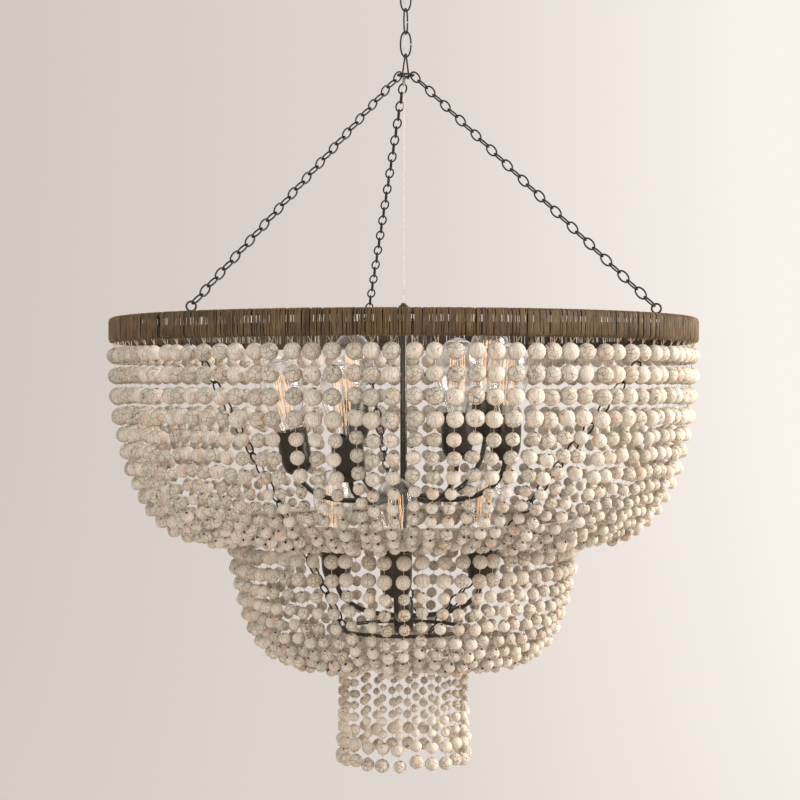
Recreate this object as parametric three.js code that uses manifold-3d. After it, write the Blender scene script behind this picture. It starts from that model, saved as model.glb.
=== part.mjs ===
// A beaded chandelier: three tiers of bead strands on three hoops, under a main ring wrapped in raffia,
// with nine lights on curved arms inside, all hung by three chains from a gathering ring.
//
// Millimetres, +Z up. The origin is where a hook holds the top link, and the fixture hangs below it.
// The front of the fixture looks towards -Y. An azimuth is counted from +X towards +Y.

import * as THREE from "three";
import { mergeVertices } from "three/addons/utils/BufferGeometryUtils.js";
import Module from "manifold-3d";

const wasm = await Module();
wasm.setup();

// General values
const CLEARANCE = 0.3; // between pieces that touch on the real object
const OVERRUN = 1; // how far a welded end or a cut reaches past a face
const WELD = 0.001; // vertices nearer than this are one

// Suspension chain: three large links with an open joint in one side
const LINK_LENGTH = 42;
const LINK_WIDTH = 19;
const LINK_WIRE = 2.8;
const LINK_JOINT_GAP = 2.4; // the open joint in the side of each link
const LINK_PLAY = 0.8; // where one link bears on the next, whose crowns cross askew
const LINK_COUNT = 3;
const LINK_TURN = 70; // every second link, from facing the front
const PLUMB_X = 3.3; // from the ring's axis to the fixture's centre of mass, which the hand-bent arms
const PLUMB_Y = -17.3; // put off the middle. The chain hangs plumb over it, so that the ring is level.

// Hanger loop: a tapered loop whose bar carries the gathering ring
const HANGER_TOP_WIDTH = 9;
const HANGER_HEIGHT = 36;
const HANGER_CROWN_SHARE = 0.07; // of its height, from the crown down to the shoulders
const HANGER_ROUNDING_SHARE = 0.12; // of its height, at the lower corners
const HANGER_TENSION_SHARE = 0.4; // how round its bends are
const HANGER_BAR_PLAY = 1.2; // beside the gathering ring, inside each leg
const HANGER_PLAY = 1.6; // where the crown bears on the last link and rolls round its wire
const HANGER_AZIMUTH = 73.75; // the way its bar runs, seen from above
const GATHERING_WIRE = 3;
const GATHERING_OUTER = 28;

// Sling chains, from the gathering ring to the main ring, and the eyes that hold them
const SLINGS = [
  { azimuth: 229, eyeFaces: 270 },
  { azimuth: 323, eyeFaces: 270 },
  { azimuth: 98.5, eyeFaces: 188.5 },
];
const SMALL_LINK_LENGTH = 23.5;
const SMALL_LINK_WIDTH = 15;
const SMALL_LINK_WIRE = 2.6;
const SMALL_LINK_BENDS = 6; // two at each crown and one at each side
const CROWN_HEIGHT_SHARE = Math.cos(Math.PI / SMALL_LINK_BENDS); // of a link's radius, up to the crown's flat
const SMALL_LINK_BITE = 0.4; // how deep a link is welded into the next
const SMALL_LINK_SLACK = 0.4; // more room than the clearance round a ring, because the links meet it askew
const EYE_OUTER = 16;
const EYE_WIRE = 2.6;
const EYE_SUNK_SHARE = 0.16; // of the eye's diameter, inside the wrap

// Main ring: two hoops and their uprights inside a raffia wrap
const BAND_DROP = 517; // from the hook down to the top of the wrap
const BAND_OUTER = 914;
const BAND_HEIGHT = 39;
const BAND_THICKNESS = 15.5;
const BAND_ROUNDING = 6;
const WRAP_THICKNESS = 2.5;
const WRAP_SLIT = 10; // where the raffia starts and ends, an upright shows
const WRAP_SLIT_AZIMUTH = 220.8;
const HOOP_ROD = 6;
const UPRIGHT_COUNT = 9;
const UPRIGHT_ROD = 6;

// Stem, with the spider that hangs it in the main ring
const STEM_DIAMETER = 11;
const KNOB_DIAMETER = 22;
const KNOB_HEIGHT = 26; // above the top of the wrap
const SPIDER_HUB_DIAMETER = 34;
const SPIDER_BAR_WIDTH = 9;
const SPIDER_BAR_HEIGHT = 5;
const SPIDER_TURN = 40; // degrees from each eye to the next bar, which keeps the bars off the bulbs
const BOSS_CHAMFER_SHARE = 0.25; // of a hub's wall

// Lights: a cup holds each lamp socket, and a clear bulb stands in it. A light's foot share is how high its cup
// stands above the hub's middle, of its cluster's reach, and its lean is in degrees outward.
const CUP_DIAMETER = 49;
const CUP_HEIGHT = 70;
const CUP_FOOT_DIAMETER = 16;
const CUP_WALL = 3;
const CUP_BORE_DEPTH = 46;
const BULB_DIAMETER = 66;
const BULB_HEIGHT = 112; // that shows above the cup
const BULB_NECK = 30;
const BULB_CAP_DIAMETER = 26;
const ARM_ROD = 8;
const ARM_OUT_SHARE = 0.62; // of the reach, where an arm starts to climb
const ARM_UP_SHARE = 0.6; // of the climb, that runs straight under the cup

// Upper cluster of six lights. Its arms are bent by hand, so each cup has a height and a lean of its own.
const UPPER_HUB_DROP = 273; // from the top of the wrap down
const UPPER_HUB_DIAMETER = 40;
const UPPER_HUB_HEIGHT = 35;
const UPPER_REACH = 168;
const UPPER_ARM_DIP = 22; // how far an arm sinks below the hub's middle before it climbs
const UPPER_LIGHTS = [
  { azimuth: 198, footShare: 0.196, lean: 12 },
  { azimuth: 242, footShare: 0.155, lean: 11 },
  { azimuth: 298, footShare: 0.351, lean: 1 },
  { azimuth: 337, footShare: 0.321, lean: 2 },
  { azimuth: 38, footShare: 0.524, lean: 4 },
  { azimuth: 118, footShare: 0.464, lean: 5 },
];

// Lower cluster of three lights
const LOWER_HUB_DROP = 464; // from the top of the wrap down
const LOWER_HUB_DIAMETER = 31;
const LOWER_HUB_HEIGHT = 60;
const LOWER_REACH = 130;
const LOWER_ARM_DIP = 4;
const LOWER_LIGHTS = [
  { azimuth: 145, footShare: 0.346, lean: 3 },
  { azimuth: 265, footShare: 0.323, lean: 2 },
  { azimuth: 19, footShare: 0.362, lean: 3 },
];

// Bead tiers. A strand's beads are listed from its top end down.
const THREAD = 3.6;
const KNOT_GAP = 5.6; // bare thread between two beads
const OUTER_BEADS = [25, 25, 25, 25, 20.5, 20.5, 20.5, 17, 17, 17, 17, 17, 17, 17, 17, 17];
const OUTER_STRANDS = 18; // one in five or six of the real strands
const OUTER_FIRST_AZIMUTH = 13.75; // which keeps the strands beside the inner chains and the stem's view
const OUTER_CROWDING_SHARE = 0.1; // of a bead's weight, with which its neighbours press it outward
const OUTER_TOP_THREAD = 7;
const OUTER_END_THREAD = 2;
const MIDDLE_RING_DROP = 311; // from the top of the wrap down
const MIDDLE_RING_RADIUS = 266;
const MIDDLE_RING_ROD = 7;
const INNER_BEADS = [24, 22, 22, 18, 18, 17.5, 17.5, 17.5, 17.5, 17.5, 17, 15, 12, 11];
const INNER_STRANDS = 12; // one in five of the real strands
const INNER_CROWDING_SHARE = 0.2; // of a bead's weight, with which its neighbours press it outward
const INNER_TOP_THREAD = 2;
const INNER_END_THREAD = 16;
const INNER_FIRST_AZIMUTH = 18; // midway between two fringe strands
const LOWER_RING_DROP = 484; // from the top of the wrap down
const LOWER_RING_RADIUS = 97;
const LOWER_RING_ROD = 6;
const FRINGE_BEADS = [11, 11, 11, 11, 11, 12, 12, 14, 14, 19, 20];
const FRINGE_STRANDS = 12; // one in two of the real strands
const FRINGE_TOP_THREAD = 3;
const FRINGE_FIRST_AZIMUTH = 3;
const FACET_SWELL_SHARE = 1.18; // a three-sided bead is drawn this much wider to fill its round outline

// Inner chains, from under the main ring to the lower ring. They are slack, so they hang in a turned line.
const INNER_CHAIN_END_AZIMUTHS = [203, 293, 80];
const INNER_CHAIN_FLAT_SHARE = 0.3; // a link's edge-on width, of its wide one

// Clear lead, from the knob up through the chain. It is shown in stretches, parted where the links swing.
const LEAD_DIAMETER = 4;
const LEAD_OFFSET = 4.7; // from the chain's middle line, so that it lies against every link
const LEAD_AZIMUTH = 127;
const LEAD_RISE = 4.8; // how far a stretch reaches above the wire that its link hangs on
const LEAD_PARTING = 4.4; // from there up to the stretch above
const LEAD_KNOB_ROOM = 0.5; // over the knob, which the lead meets a little aslant

// How round things are drawn, in counts of sides and steps
const LINK_WIRE_SIDES = 5;
const LINK_STEPS = 12;
const HANGER_STEPS = 14;
const EYE_STEPS = 8;
const LEAD_SIDES = 8;
const BAND_STEPS = 32;
const STEM_SIDES = 6;
const BOSS_SIDES = 8;
const ROUND_SIDES = 8;
const ARM_SIDES = 4;
const ARM_STEPS = 5;
const MIDDLE_RING_STEPS = 32;
const LOWER_RING_STEPS = 20;

// Levels and radii worked out from the sizes above
const bandTop = -BAND_DROP;
const bandFoot = bandTop - BAND_HEIGHT;
const bandMiddleRadius = (BAND_OUTER - BAND_THICKNESS) / 2;
const middleRing = { radius: MIDDLE_RING_RADIUS, level: bandTop - MIDDLE_RING_DROP };
const lowerRing = { radius: LOWER_RING_RADIUS, level: bandTop - LOWER_RING_DROP };
const linkTopAxis = LINK_WIRE / 2; // the top link's upper wire, over the hook
const linkAxisLength = LINK_LENGTH - LINK_WIRE;
const linkStep = linkAxisLength - LINK_WIRE - LINK_PLAY;
const lastLinkFoot = linkTopAxis - (LINK_COUNT - 1) * linkStep - linkAxisLength;
const hangerTopAxis = lastLinkFoot + LINK_WIRE + HANGER_PLAY;
const hangerBarAxis = hangerTopAxis - HANGER_HEIGHT;
const gatheringRadius = (GATHERING_OUTER - GATHERING_WIRE) / 2;
const gatheringLevel = hangerBarAxis + (LINK_WIRE + GATHERING_WIRE) / 2 + CLEARANCE;
const eyeRadius = (EYE_OUTER - EYE_WIRE) / 2;
const eyeLevel = bandTop + EYE_OUTER / 2 - EYE_OUTER * EYE_SUNK_SHARE;

// Finishes
function finish(color, roughness, metalness) {
  return new THREE.MeshStandardMaterial({ color, roughness, metalness });
}
const iron = finish(0x2b2724, 0.55, 0.7);
const galvanised = finish(0x77736d, 0.5, 0.8);
const raffia = finish(0x7a6549, 0.9, 0);
const whitewash = finish(0xcbbfae, 0.85, 0);
const clearGlass = new THREE.MeshStandardMaterial({
  color: 0xf3ead9,
  roughness: 0.05,
  metalness: 0,
  transparent: true,
  opacity: 0.35,
});
const clearPlastic = new THREE.MeshStandardMaterial({
  color: 0xe6e4dd,
  roughness: 0.25,
  metalness: 0,
  transparent: true,
  opacity: 0.5,
});

// Turning and placing

function radians(degrees) {
  return THREE.MathUtils.degToRad(degrees);
}

// The point at a radius, an azimuth in degrees and a level.
function polar(radius, azimuth, level) {
  const angle = radians(azimuth);
  return new THREE.Vector3(radius * Math.cos(angle), radius * Math.sin(angle), level);
}

function evenly(count, first = 0) {
  return Array.from({ length: count }, (_, i) => first + (i * 360) / count);
}

// Joining and cutting

function toSolid(geometry) {
  const bare = geometry.clone();
  bare.deleteAttribute("normal");
  bare.deleteAttribute("uv");
  const merged = mergeVertices(bare, WELD);
  const mesh = new wasm.Mesh({
    numProp: 3,
    vertProperties: merged.attributes.position.array,
    triVerts: new Uint32Array(merged.index.array),
  });
  return new wasm.Manifold(mesh);
}

function toGeometry(solid) {
  const mesh = solid.getMesh();
  const geometry = new THREE.BufferGeometry();
  geometry.setAttribute("position", new THREE.BufferAttribute(mesh.vertProperties, 3));
  geometry.setIndex(new THREE.BufferAttribute(mesh.triVerts, 1));
  geometry.computeVertexNormals();
  return geometry;
}

function join(geometries) {
  return toGeometry(wasm.Manifold.union(geometries.map(toSolid)));
}

function cut(geometry, tools) {
  const solid = tools.reduce((rest, tool) => rest.subtract(toSolid(tool)), toSolid(geometry));
  return toGeometry(solid);
}

// Shapes that several pieces share

function polygon(radius, sides) {
  const points = evenly(sides, 180 / sides).map((azimuth) => {
    const corner = polar(radius, azimuth, 0);
    return new THREE.Vector2(corner.x, corner.y);
  });
  return new THREE.Shape(points);
}

// A solid rod along an open curve, with flat ends.
function rod(curve, diameter, sides, steps) {
  return new THREE.ExtrudeGeometry(polygon(diameter / 2, sides), {
    steps,
    bevelEnabled: false,
    extrudePath: curve,
  });
}

// A turned solid. The profile is a list of [radius, level] from the bottom of the outside up.
function turned(profile, segments) {
  const points = profile.map(([radius, level]) => new THREE.Vector2(radius, level));
  return new THREE.LatheGeometry(points, segments).rotateX(radians(90));
}

// A ring of wire lying level.
function hoop(radius, wire, sides, steps) {
  return new THREE.TorusGeometry(radius, wire / 2, sides, steps);
}

// An upright oval in the XZ plane with straightened sides, from one turn share to another.
class OvalCurve extends THREE.Curve {
  constructor(width, length, startShare = 0, endShare = 1) {
    super();
    Object.assign(this, { width, length, startShare, endShare });
  }

  getPoint(share, target = new THREE.Vector3()) {
    const angle = 2 * Math.PI * THREE.MathUtils.lerp(this.startShare, this.endShare, share);
    const side = Math.cos(angle);
    const squared = Math.sign(side) * Math.sqrt(Math.abs(side) * (2 - Math.abs(side)));
    return target.set((this.width / 2) * squared, 0, (this.length / 2) * Math.sin(angle));
  }

  // Steps along the curve are even in angle, so that both crowns are drawn alike.
  getUtoTmapping(share) {
    return share;
  }
}

// A closed body through rings of points, all with the same count of sides.
function loft(rings) {
  const sides = rings[0].length;
  const positions = rings.flat().flatMap((point) => point.toArray());
  const faces = [];
  for (let ring = 0; ring + 1 < rings.length; ring++) {
    for (let side = 0; side < sides; side++) {
      const next = (side + 1) % sides;
      const [a, b] = [ring * sides + side, ring * sides + next];
      const [c, d] = [a + sides, b + sides];
      faces.push(a, b, d);
      faces.push(a, d, c);
    }
  }
  const last = (rings.length - 1) * sides;
  for (let side = 1; side + 1 < sides; side++) {
    faces.push(0, side + 1, side);
    faces.push(last, last + side, last + side + 1);
  }
  const geometry = new THREE.BufferGeometry();
  geometry.setAttribute("position", new THREE.Float32BufferAttribute(positions, 3));
  geometry.setIndex(faces);
  geometry.computeVertexNormals();
  return geometry;
}

// Bead strands

// Where the beads of a strand hang between two ends, each { radius, level }. Each piece of thread lies along
// the pull in it. Each bead takes its weight, as its diameter cubed, off the upright part of that pull, and
// adds a share of it to the level part, because its neighbours crowd it outward. The pull at the top is found
// by halving until the strand's end meets the lower fixing.
function hangStrand(beads, topThread, endThread, crowdingShare, top, end) {
  const spans = beads.map((bead, i) =>
    i ? (beads[i - 1] + bead) / 2 + KNOT_GAP : topThread + bead / 2,
  );
  spans.push(beads.at(-1) / 2 + endThread);
  const weights = beads.map((bead) => bead ** 3);
  const load = weights.reduce((sum, weight) => sum + weight, 0);

  const walk = (levelPull, uprightPull) => {
    let [level, upright] = [levelPull, uprightPull];
    const at = { ...top };
    const stations = [{ ...at }];
    spans.forEach((span, i) => {
      const length = Math.hypot(level, upright);
      at.radius -= (span * level) / length;
      at.level -= (span * upright) / length;
      stations.push({ ...at });
      const weight = weights[i] ?? 0;
      upright -= weight;
      level += weight * crowdingShare;
    });
    return stations;
  };
  const halve = (low, high, tooLow) => {
    for (let round = 0; round < 60; round++) {
      const middle = (low + high) / 2;
      if (tooLow(middle)) low = middle;
      else high = middle;
    }
    return (low + high) / 2;
  };
  const uprightFor = (level) =>
    halve(-load, 2 * load, (upright) => walk(level, upright).at(-1).level > end.level);
  const level = halve(0, load, (pull) => walk(pull, uprightFor(pull)).at(-1).radius > end.radius);
  return walk(level, uprightFor(level));
}

// A three-sided string of beads through stations: each bead swells at its middle and the thread is between.
function beadString(stations, beads, azimuth) {
  const across = polar(1, azimuth + 90, 0);
  const points = stations.map(({ radius, level }) => polar(radius, azimuth, level));
  const rings = [];
  const ring = (centre, along, diameter) => {
    const inward = new THREE.Vector3().crossVectors(across, along).normalize();
    const swollen = (diameter / 2) * FACET_SWELL_SHARE;
    const corners = evenly(3, 180).map((turn) =>
      centre
        .clone()
        .addScaledVector(inward, swollen * Math.cos(radians(turn)))
        .addScaledVector(across, swollen * Math.sin(radians(turn))),
    );
    rings.push(corners);
  };
  points.forEach((point, i) => {
    const before = points[Math.max(i - 1, 0)];
    const after = points[Math.min(i + 1, points.length - 1)];
    const bead = beads[i - 1];
    ring(point, after.clone().sub(before), bead ?? THREAD);
    if (bead && beads[i]) {
      const middle = point.clone().lerp(after, bead / (bead + beads[i]));
      ring(middle, after.clone().sub(point), THREAD);
    }
  });
  return loft(rings);
}

// Chains

// Turns what stands along +Z with its face to +Y, so that it runs along a line with its face to a side.
function pointAlong(geometry, along, face, place) {
  const across = new THREE.Vector3().crossVectors(face, along).normalize();
  const facing = new THREE.Vector3().crossVectors(along, across);
  const turn = new THREE.Matrix4().makeBasis(across, facing, along).setPosition(place);
  return geometry.applyMatrix4(turn);
}

// One small link, widest at its middle, with a flat at each crown. It stands along +Z and faces +Y. Its wire is
// three-sided, with an edge to the inside of the link.
function smallLink(axisLength) {
  const radius = (SMALL_LINK_WIDTH - SMALL_LINK_WIRE) / 2;
  const stretch = axisLength / 2 - radius * CROWN_HEIGHT_SHARE;
  const link = new THREE.TorusGeometry(radius, -SMALL_LINK_WIRE / 2, 3, SMALL_LINK_BENDS);
  const positions = link.attributes.position;
  for (let i = 0; i < positions.count; i++) {
    const height = positions.getY(i);
    const beyond = Math.abs(height) > radius / 2 ? stretch : 0;
    positions.setY(i, height + Math.sign(height) * beyond);
  }
  return link.rotateX(radians(90));
}

// A chain of small links between the middles of its two end wires. The first link's face is turned to a side,
// each next one a quarter turn from it, and the links are joined where they bear on each other. An even count
// of links fills the line, so their length is eased by a few hundredths.
function smallChain(start, end, face) {
  const along = end.clone().sub(start).normalize();
  const length = start.distanceTo(end);
  const bearing = SMALL_LINK_WIRE * CROWN_HEIGHT_SHARE - SMALL_LINK_BITE;
  const usualPitch = SMALL_LINK_LENGTH - SMALL_LINK_WIRE - bearing;
  const count = 2 * Math.round((length - bearing) / usualPitch / 2);
  const axisLength = (length + (count - 1) * bearing) / count;
  const pitch = axisLength - bearing;
  const otherFace = new THREE.Vector3().crossVectors(along, face);
  const links = Array.from({ length: count }, (_, i) => {
    const place = start.clone().addScaledVector(along, axisLength / 2 + i * pitch);
    return pointAlong(smallLink(axisLength), along, i % 2 ? otherFace : face, place);
  });
  return join(links);
}

// The pieces

// The chain hangs at X = Y = 0. In the fixture's group, X = Y = 0 is the main ring's axis.
const root = new THREE.Group();
const fixture = new THREE.Group();
const plumb = new THREE.Vector3(PLUMB_X, PLUMB_Y, 0);
fixture.position.copy(plumb).negate();
root.add(fixture);

function piece(name, geometry, material, parent = fixture) {
  const mesh = new THREE.Mesh(geometry, material);
  mesh.name = name;
  parent.add(mesh);
  return mesh;
}

// A large link with its open joint in one side, its face turned to an azimuth.
function suspensionLink(topAxis, faceAzimuth) {
  const width = LINK_WIDTH - LINK_WIRE;
  const gapShare = LINK_JOINT_GAP / 2 / (Math.PI * linkAxisLength);
  const oval = new OvalCurve(width, linkAxisLength, gapShare, 1 - gapShare);
  const link = rod(oval, LINK_WIRE, LINK_WIRE_SIDES, LINK_STEPS);
  return link.rotateZ(radians(faceAzimuth)).translate(0, 0, topAxis - linkAxisLength / 2);
}

// A straight stretch of the lead between two points.
function leadStretch(top, foot) {
  return rod(new THREE.LineCurve3(top, foot), LEAD_DIAMETER, LEAD_SIDES, 1);
}

function besideChain(level) {
  return polar(LEAD_OFFSET, LEAD_AZIMUTH, level);
}

for (let link = 0; link < LINK_COUNT; link++) {
  const topAxis = linkTopAxis - link * linkStep;
  const turn = link % 2 ? LINK_TURN : 0;
  piece(`suspension_link_${link + 1}`, suspensionLink(topAxis, turn), iron, root);
  const wireAbove = topAxis + linkStep - linkAxisLength;
  const top = link ? wireAbove + LEAD_RISE : topAxis + LINK_WIRE / 2;
  const foot = topAxis - linkAxisLength + LEAD_RISE + LEAD_PARTING;
  const stretch = leadStretch(besideChain(top), besideChain(foot));
  piece(`lead_in_link_${link + 1}`, stretch, clearPlastic, root);
}

// Hanger loop: narrow in the last link, wide round the gathering ring, which rests on its bar.
function hangerLoop() {
  const top = HANGER_TOP_WIDTH / 2;
  const foot = (GATHERING_OUTER + LINK_WIRE) / 2 + HANGER_BAR_PLAY;
  const corners = [
    [0, 0],
    [top, -HANGER_CROWN_SHARE * HANGER_HEIGHT],
    [foot, -(1 - HANGER_ROUNDING_SHARE) * HANGER_HEIGHT],
    [foot - HANGER_ROUNDING_SHARE * HANGER_HEIGHT, -HANGER_HEIGHT],
    [HANGER_ROUNDING_SHARE * HANGER_HEIGHT - foot, -HANGER_HEIGHT],
    [-foot, -(1 - HANGER_ROUNDING_SHARE) * HANGER_HEIGHT],
    [-top, -HANGER_CROWN_SHARE * HANGER_HEIGHT],
  ].map(([across, down]) => new THREE.Vector3(across, 0, down));
  const loop = new THREE.CatmullRomCurve3(corners, true, "catmullrom", HANGER_TENSION_SHARE);
  const tube = new THREE.TubeGeometry(loop, HANGER_STEPS, LINK_WIRE / 2, LINK_WIRE_SIDES, true);
  return tube.rotateZ(radians(HANGER_AZIMUTH)).translate(0, 0, hangerTopAxis);
}
piece("hanger_loop", hangerLoop(), iron, root);
const leadInHanger = leadStretch(
  besideChain(lastLinkFoot + LEAD_RISE),
  besideChain(hangerBarAxis + LEAD_RISE + LEAD_PARTING),
);
piece("lead_in_hanger", leadInHanger, clearPlastic, root);

const gatheringRing = hoop(gatheringRadius, GATHERING_WIRE, LINK_WIRE_SIDES, LINK_STEPS);
piece("gathering_ring", gatheringRing.translate(0, 0, gatheringLevel), iron, root);
const knobTop = polar(0, 0, bandTop + KNOB_HEIGHT + LEAD_KNOB_ROOM);
const leadToKnob = leadStretch(besideChain(hangerBarAxis + LEAD_RISE).add(plumb), knobTop);
piece("lead_to_knob", leadToKnob, clearPlastic);

// Ring frame: two hoops, uprights between them and an eye for each sling chain, welded together.
const topHoopLevel = bandTop - WRAP_THICKNESS - CLEARANCE - HOOP_ROD / 2;
const footHoopLevel = bandFoot + WRAP_THICKNESS + CLEARANCE + HOOP_ROD / 2;

// The hoops turn with the wrap, so that the bends of both lie side by side.
function frameHoop(level) {
  const wire = hoop(bandMiddleRadius, HOOP_ROD, 4, BAND_STEPS);
  return wire.rotateZ(radians(WRAP_SLIT_AZIMUTH)).translate(0, 0, level);
}

function eyeMiddle(azimuth) {
  return polar(bandMiddleRadius, azimuth, eyeLevel);
}

// An eye and the shank that joins it to the top hoop, each thicker by an extra where they cut a way out.
function eyeParts({ azimuth, eyeFaces }, extra = 0) {
  const middle = eyeMiddle(azimuth);
  const eye = hoop(eyeRadius, EYE_WIRE + extra, 4, EYE_STEPS).rotateX(radians(90));
  eye.rotateZ(radians(eyeFaces - 90)).translate(middle.x, middle.y, middle.z);
  const top = eyeLevel - eyeRadius;
  const shank = new THREE.BoxGeometry(EYE_WIRE + extra, EYE_WIRE + extra, top - topHoopLevel);
  shank.translate(middle.x, middle.y, (top + topHoopLevel) / 2);
  return [eye, shank];
}

function upright(azimuth) {
  const height = topHoopLevel - footHoopLevel;
  const bar = new THREE.CylinderGeometry(UPRIGHT_ROD / 2, UPRIGHT_ROD / 2, height, 4);
  const place = polar(bandMiddleRadius * Math.cos(Math.PI / BAND_STEPS), azimuth, topHoopLevel - height / 2);
  return bar.rotateX(radians(90)).rotateZ(radians(azimuth)).translate(place.x, place.y, place.z);
}

piece(
  "ring_frame",
  join([
    frameHoop(topHoopLevel),
    frameHoop(footHoopLevel),
    ...evenly(UPRIGHT_COUNT, WRAP_SLIT_AZIMUTH).map(upright),
    ...SLINGS.flatMap((sling) => eyeParts(sling)),
  ]),
  galvanised,
);

// Spider: three bars from a hub round the stem, through the wrap to the top hoop.
const spiderLevel = topHoopLevel;
const spiderReach = bandMiddleRadius * Math.cos(Math.PI / BAND_STEPS) - HOOP_ROD / 2 - CLEARANCE;
function spiderBar(azimuth, extra = 0) {
  const bar = new THREE.BoxGeometry(spiderReach, SPIDER_BAR_WIDTH + extra, SPIDER_BAR_HEIGHT + extra);
  return bar.translate(spiderReach / 2, 0, 0).rotateZ(radians(azimuth)).translate(0, 0, spiderLevel);
}
const spiderAzimuths = SLINGS.map(({ azimuth }) => azimuth + SPIDER_TURN);
const stemBore = STEM_DIAMETER / 2 / Math.cos(Math.PI / STEM_SIDES) + CLEARANCE;

function boss(diameter, height, middleLevel) {
  const [low, high] = [middleLevel - height / 2, middleLevel + height / 2];
  const chamfer = (diameter / 2 - stemBore) * BOSS_CHAMFER_SHARE;
  return turned(
    [
      [stemBore, low],
      [diameter / 2 - chamfer, low],
      [diameter / 2, low + chamfer],
      [diameter / 2, high - chamfer],
      [diameter / 2 - chamfer, high],
      [stemBore, high],
      [stemBore, low],
    ],
    BOSS_SIDES,
  );
}

function stemRoom(top, foot) {
  const room = new THREE.CylinderGeometry(stemBore, stemBore, top - foot, BOSS_SIDES);
  return room.rotateX(radians(90)).translate(0, 0, (top + foot) / 2);
}

const spiderHubHeight = 3 * SPIDER_BAR_HEIGHT;
const spiderArms = join(spiderAzimuths.map((azimuth) => spiderBar(azimuth)));
const spiderRoom = stemRoom(spiderLevel + spiderHubHeight, spiderLevel - spiderHubHeight);
const spiderBars = cut(spiderArms, [spiderRoom]);
piece("spider", join([spiderBars, boss(SPIDER_HUB_DIAMETER, spiderHubHeight, spiderLevel)]), iron);

// Raffia wrap: a sleeve round the hoops, open at its slit, cut where the eyes and spider bars pass.
class LevelArc extends THREE.Curve {
  getPoint(share, target = new THREE.Vector3()) {
    const gap = THREE.MathUtils.radToDeg(WRAP_SLIT / bandMiddleRadius);
    const azimuth = WRAP_SLIT_AZIMUTH + gap / 2 + share * (360 - gap);
    return target.copy(polar(bandMiddleRadius, azimuth, (bandTop + bandFoot) / 2));
  }
}

function wrapSection() {
  const [high, wide] = [BAND_HEIGHT / 2, BAND_THICKNESS / 2];
  const [flatHigh, flatWide] = [high - BAND_ROUNDING, wide - BAND_ROUNDING];
  const outline = [
    [high, flatWide],
    [flatHigh, wide],
    [-flatHigh, wide],
    [-high, flatWide],
    [-high, -flatWide],
    [-flatHigh, -wide],
    [flatHigh, -wide],
    [high, -flatWide],
  ];
  const [inHigh, inWide] = [high - WRAP_THICKNESS, wide - WRAP_THICKNESS];
  const hollow = [
    [inHigh, flatWide],
    [flatHigh, inWide],
    [-flatHigh, inWide],
    [-inHigh, flatWide],
    [-inHigh, -flatWide],
    [-flatHigh, -inWide],
    [flatHigh, -inWide],
    [inHigh, -flatWide],
  ];
  const toPoints = (corners) => corners.map(([across, up]) => new THREE.Vector2(across, up));
  const section = new THREE.Shape(toPoints(outline));
  section.holes.push(new THREE.Path(toPoints(hollow)));
  return section;
}

const sleeve = new THREE.ExtrudeGeometry(wrapSection(), {
  steps: BAND_STEPS,
  bevelEnabled: false,
  extrudePath: new LevelArc(),
});
piece(
  "raffia_wrap",
  cut(sleeve, [
    ...spiderAzimuths.map((azimuth) => spiderBar(azimuth, 2 * CLEARANCE)),
    ...SLINGS.flatMap((sling) => eyeParts(sling, 2 * CLEARANCE)),
  ]),
  raffia,
);

// Sling chains: each holds the gathering ring in its first link and an eye in its last.
const linkHold = (wire) => (wire + SMALL_LINK_WIRE) / 2 + CLEARANCE + SMALL_LINK_SLACK;
SLINGS.forEach(({ azimuth, eyeFaces }, i) => {
  const middle = eyeMiddle(azimuth);
  const outward = middle.clone().sub(plumb).setZ(0).normalize();
  const onRing = plumb.clone().setZ(gatheringLevel).addScaledVector(outward, gatheringRadius);
  const towardsRing = onRing.clone().sub(middle).projectOnPlane(polar(1, eyeFaces, 0)).normalize();
  const eyeBearing = eyeRadius * Math.cos(Math.PI / EYE_STEPS);
  const onEye = middle.clone().addScaledVector(towardsRing, eyeBearing);
  const along = onEye.clone().sub(onRing).normalize();
  const start = onRing.clone().addScaledVector(along, -linkHold(GATHERING_WIRE));
  const end = onEye.clone().addScaledVector(along, linkHold(EYE_WIRE));
  const face = new THREE.Vector3(0, 0, 1).cross(outward);
  piece(`sling_chain_${i + 1}`, smallChain(start, end, face), iron);
});

// Stem and knob
const knobFoot = bandTop;
const stemTop = knobFoot - CLEARANCE;
const stemFoot = bandTop - LOWER_HUB_DROP;
const stem = new THREE.CylinderGeometry(STEM_DIAMETER / 2, STEM_DIAMETER / 2, stemTop - stemFoot, STEM_SIDES);
piece("stem", stem.rotateX(radians(90)).translate(0, 0, (stemTop + stemFoot) / 2), iron);

const knobShares = [
  [0, 0],
  [0.6, 0],
  [0.6, 0.16],
  [1, 0.5],
  [0.68, 0.84],
  [0.34, 1],
  [0, 1],
];
piece(
  "knob",
  turned(
    knobShares.map(([radius, height]) => [(radius * KNOB_DIAMETER) / 2, knobFoot + height * KNOB_HEIGHT]),
    BOSS_SIDES,
  ),
  iron,
);

// Lights: a cluster's arms climb from its hub to the cups, and each cup holds a bulb.
const cupShares = [
  [0.78, 0.12],
  [0.96, 0.28],
  [1, 0.5],
];
const bulbShares = [
  [0.84, 0.3],
  [1, 0.56],
  [0.86, 0.82],
  [0.42, 0.98],
];

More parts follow.
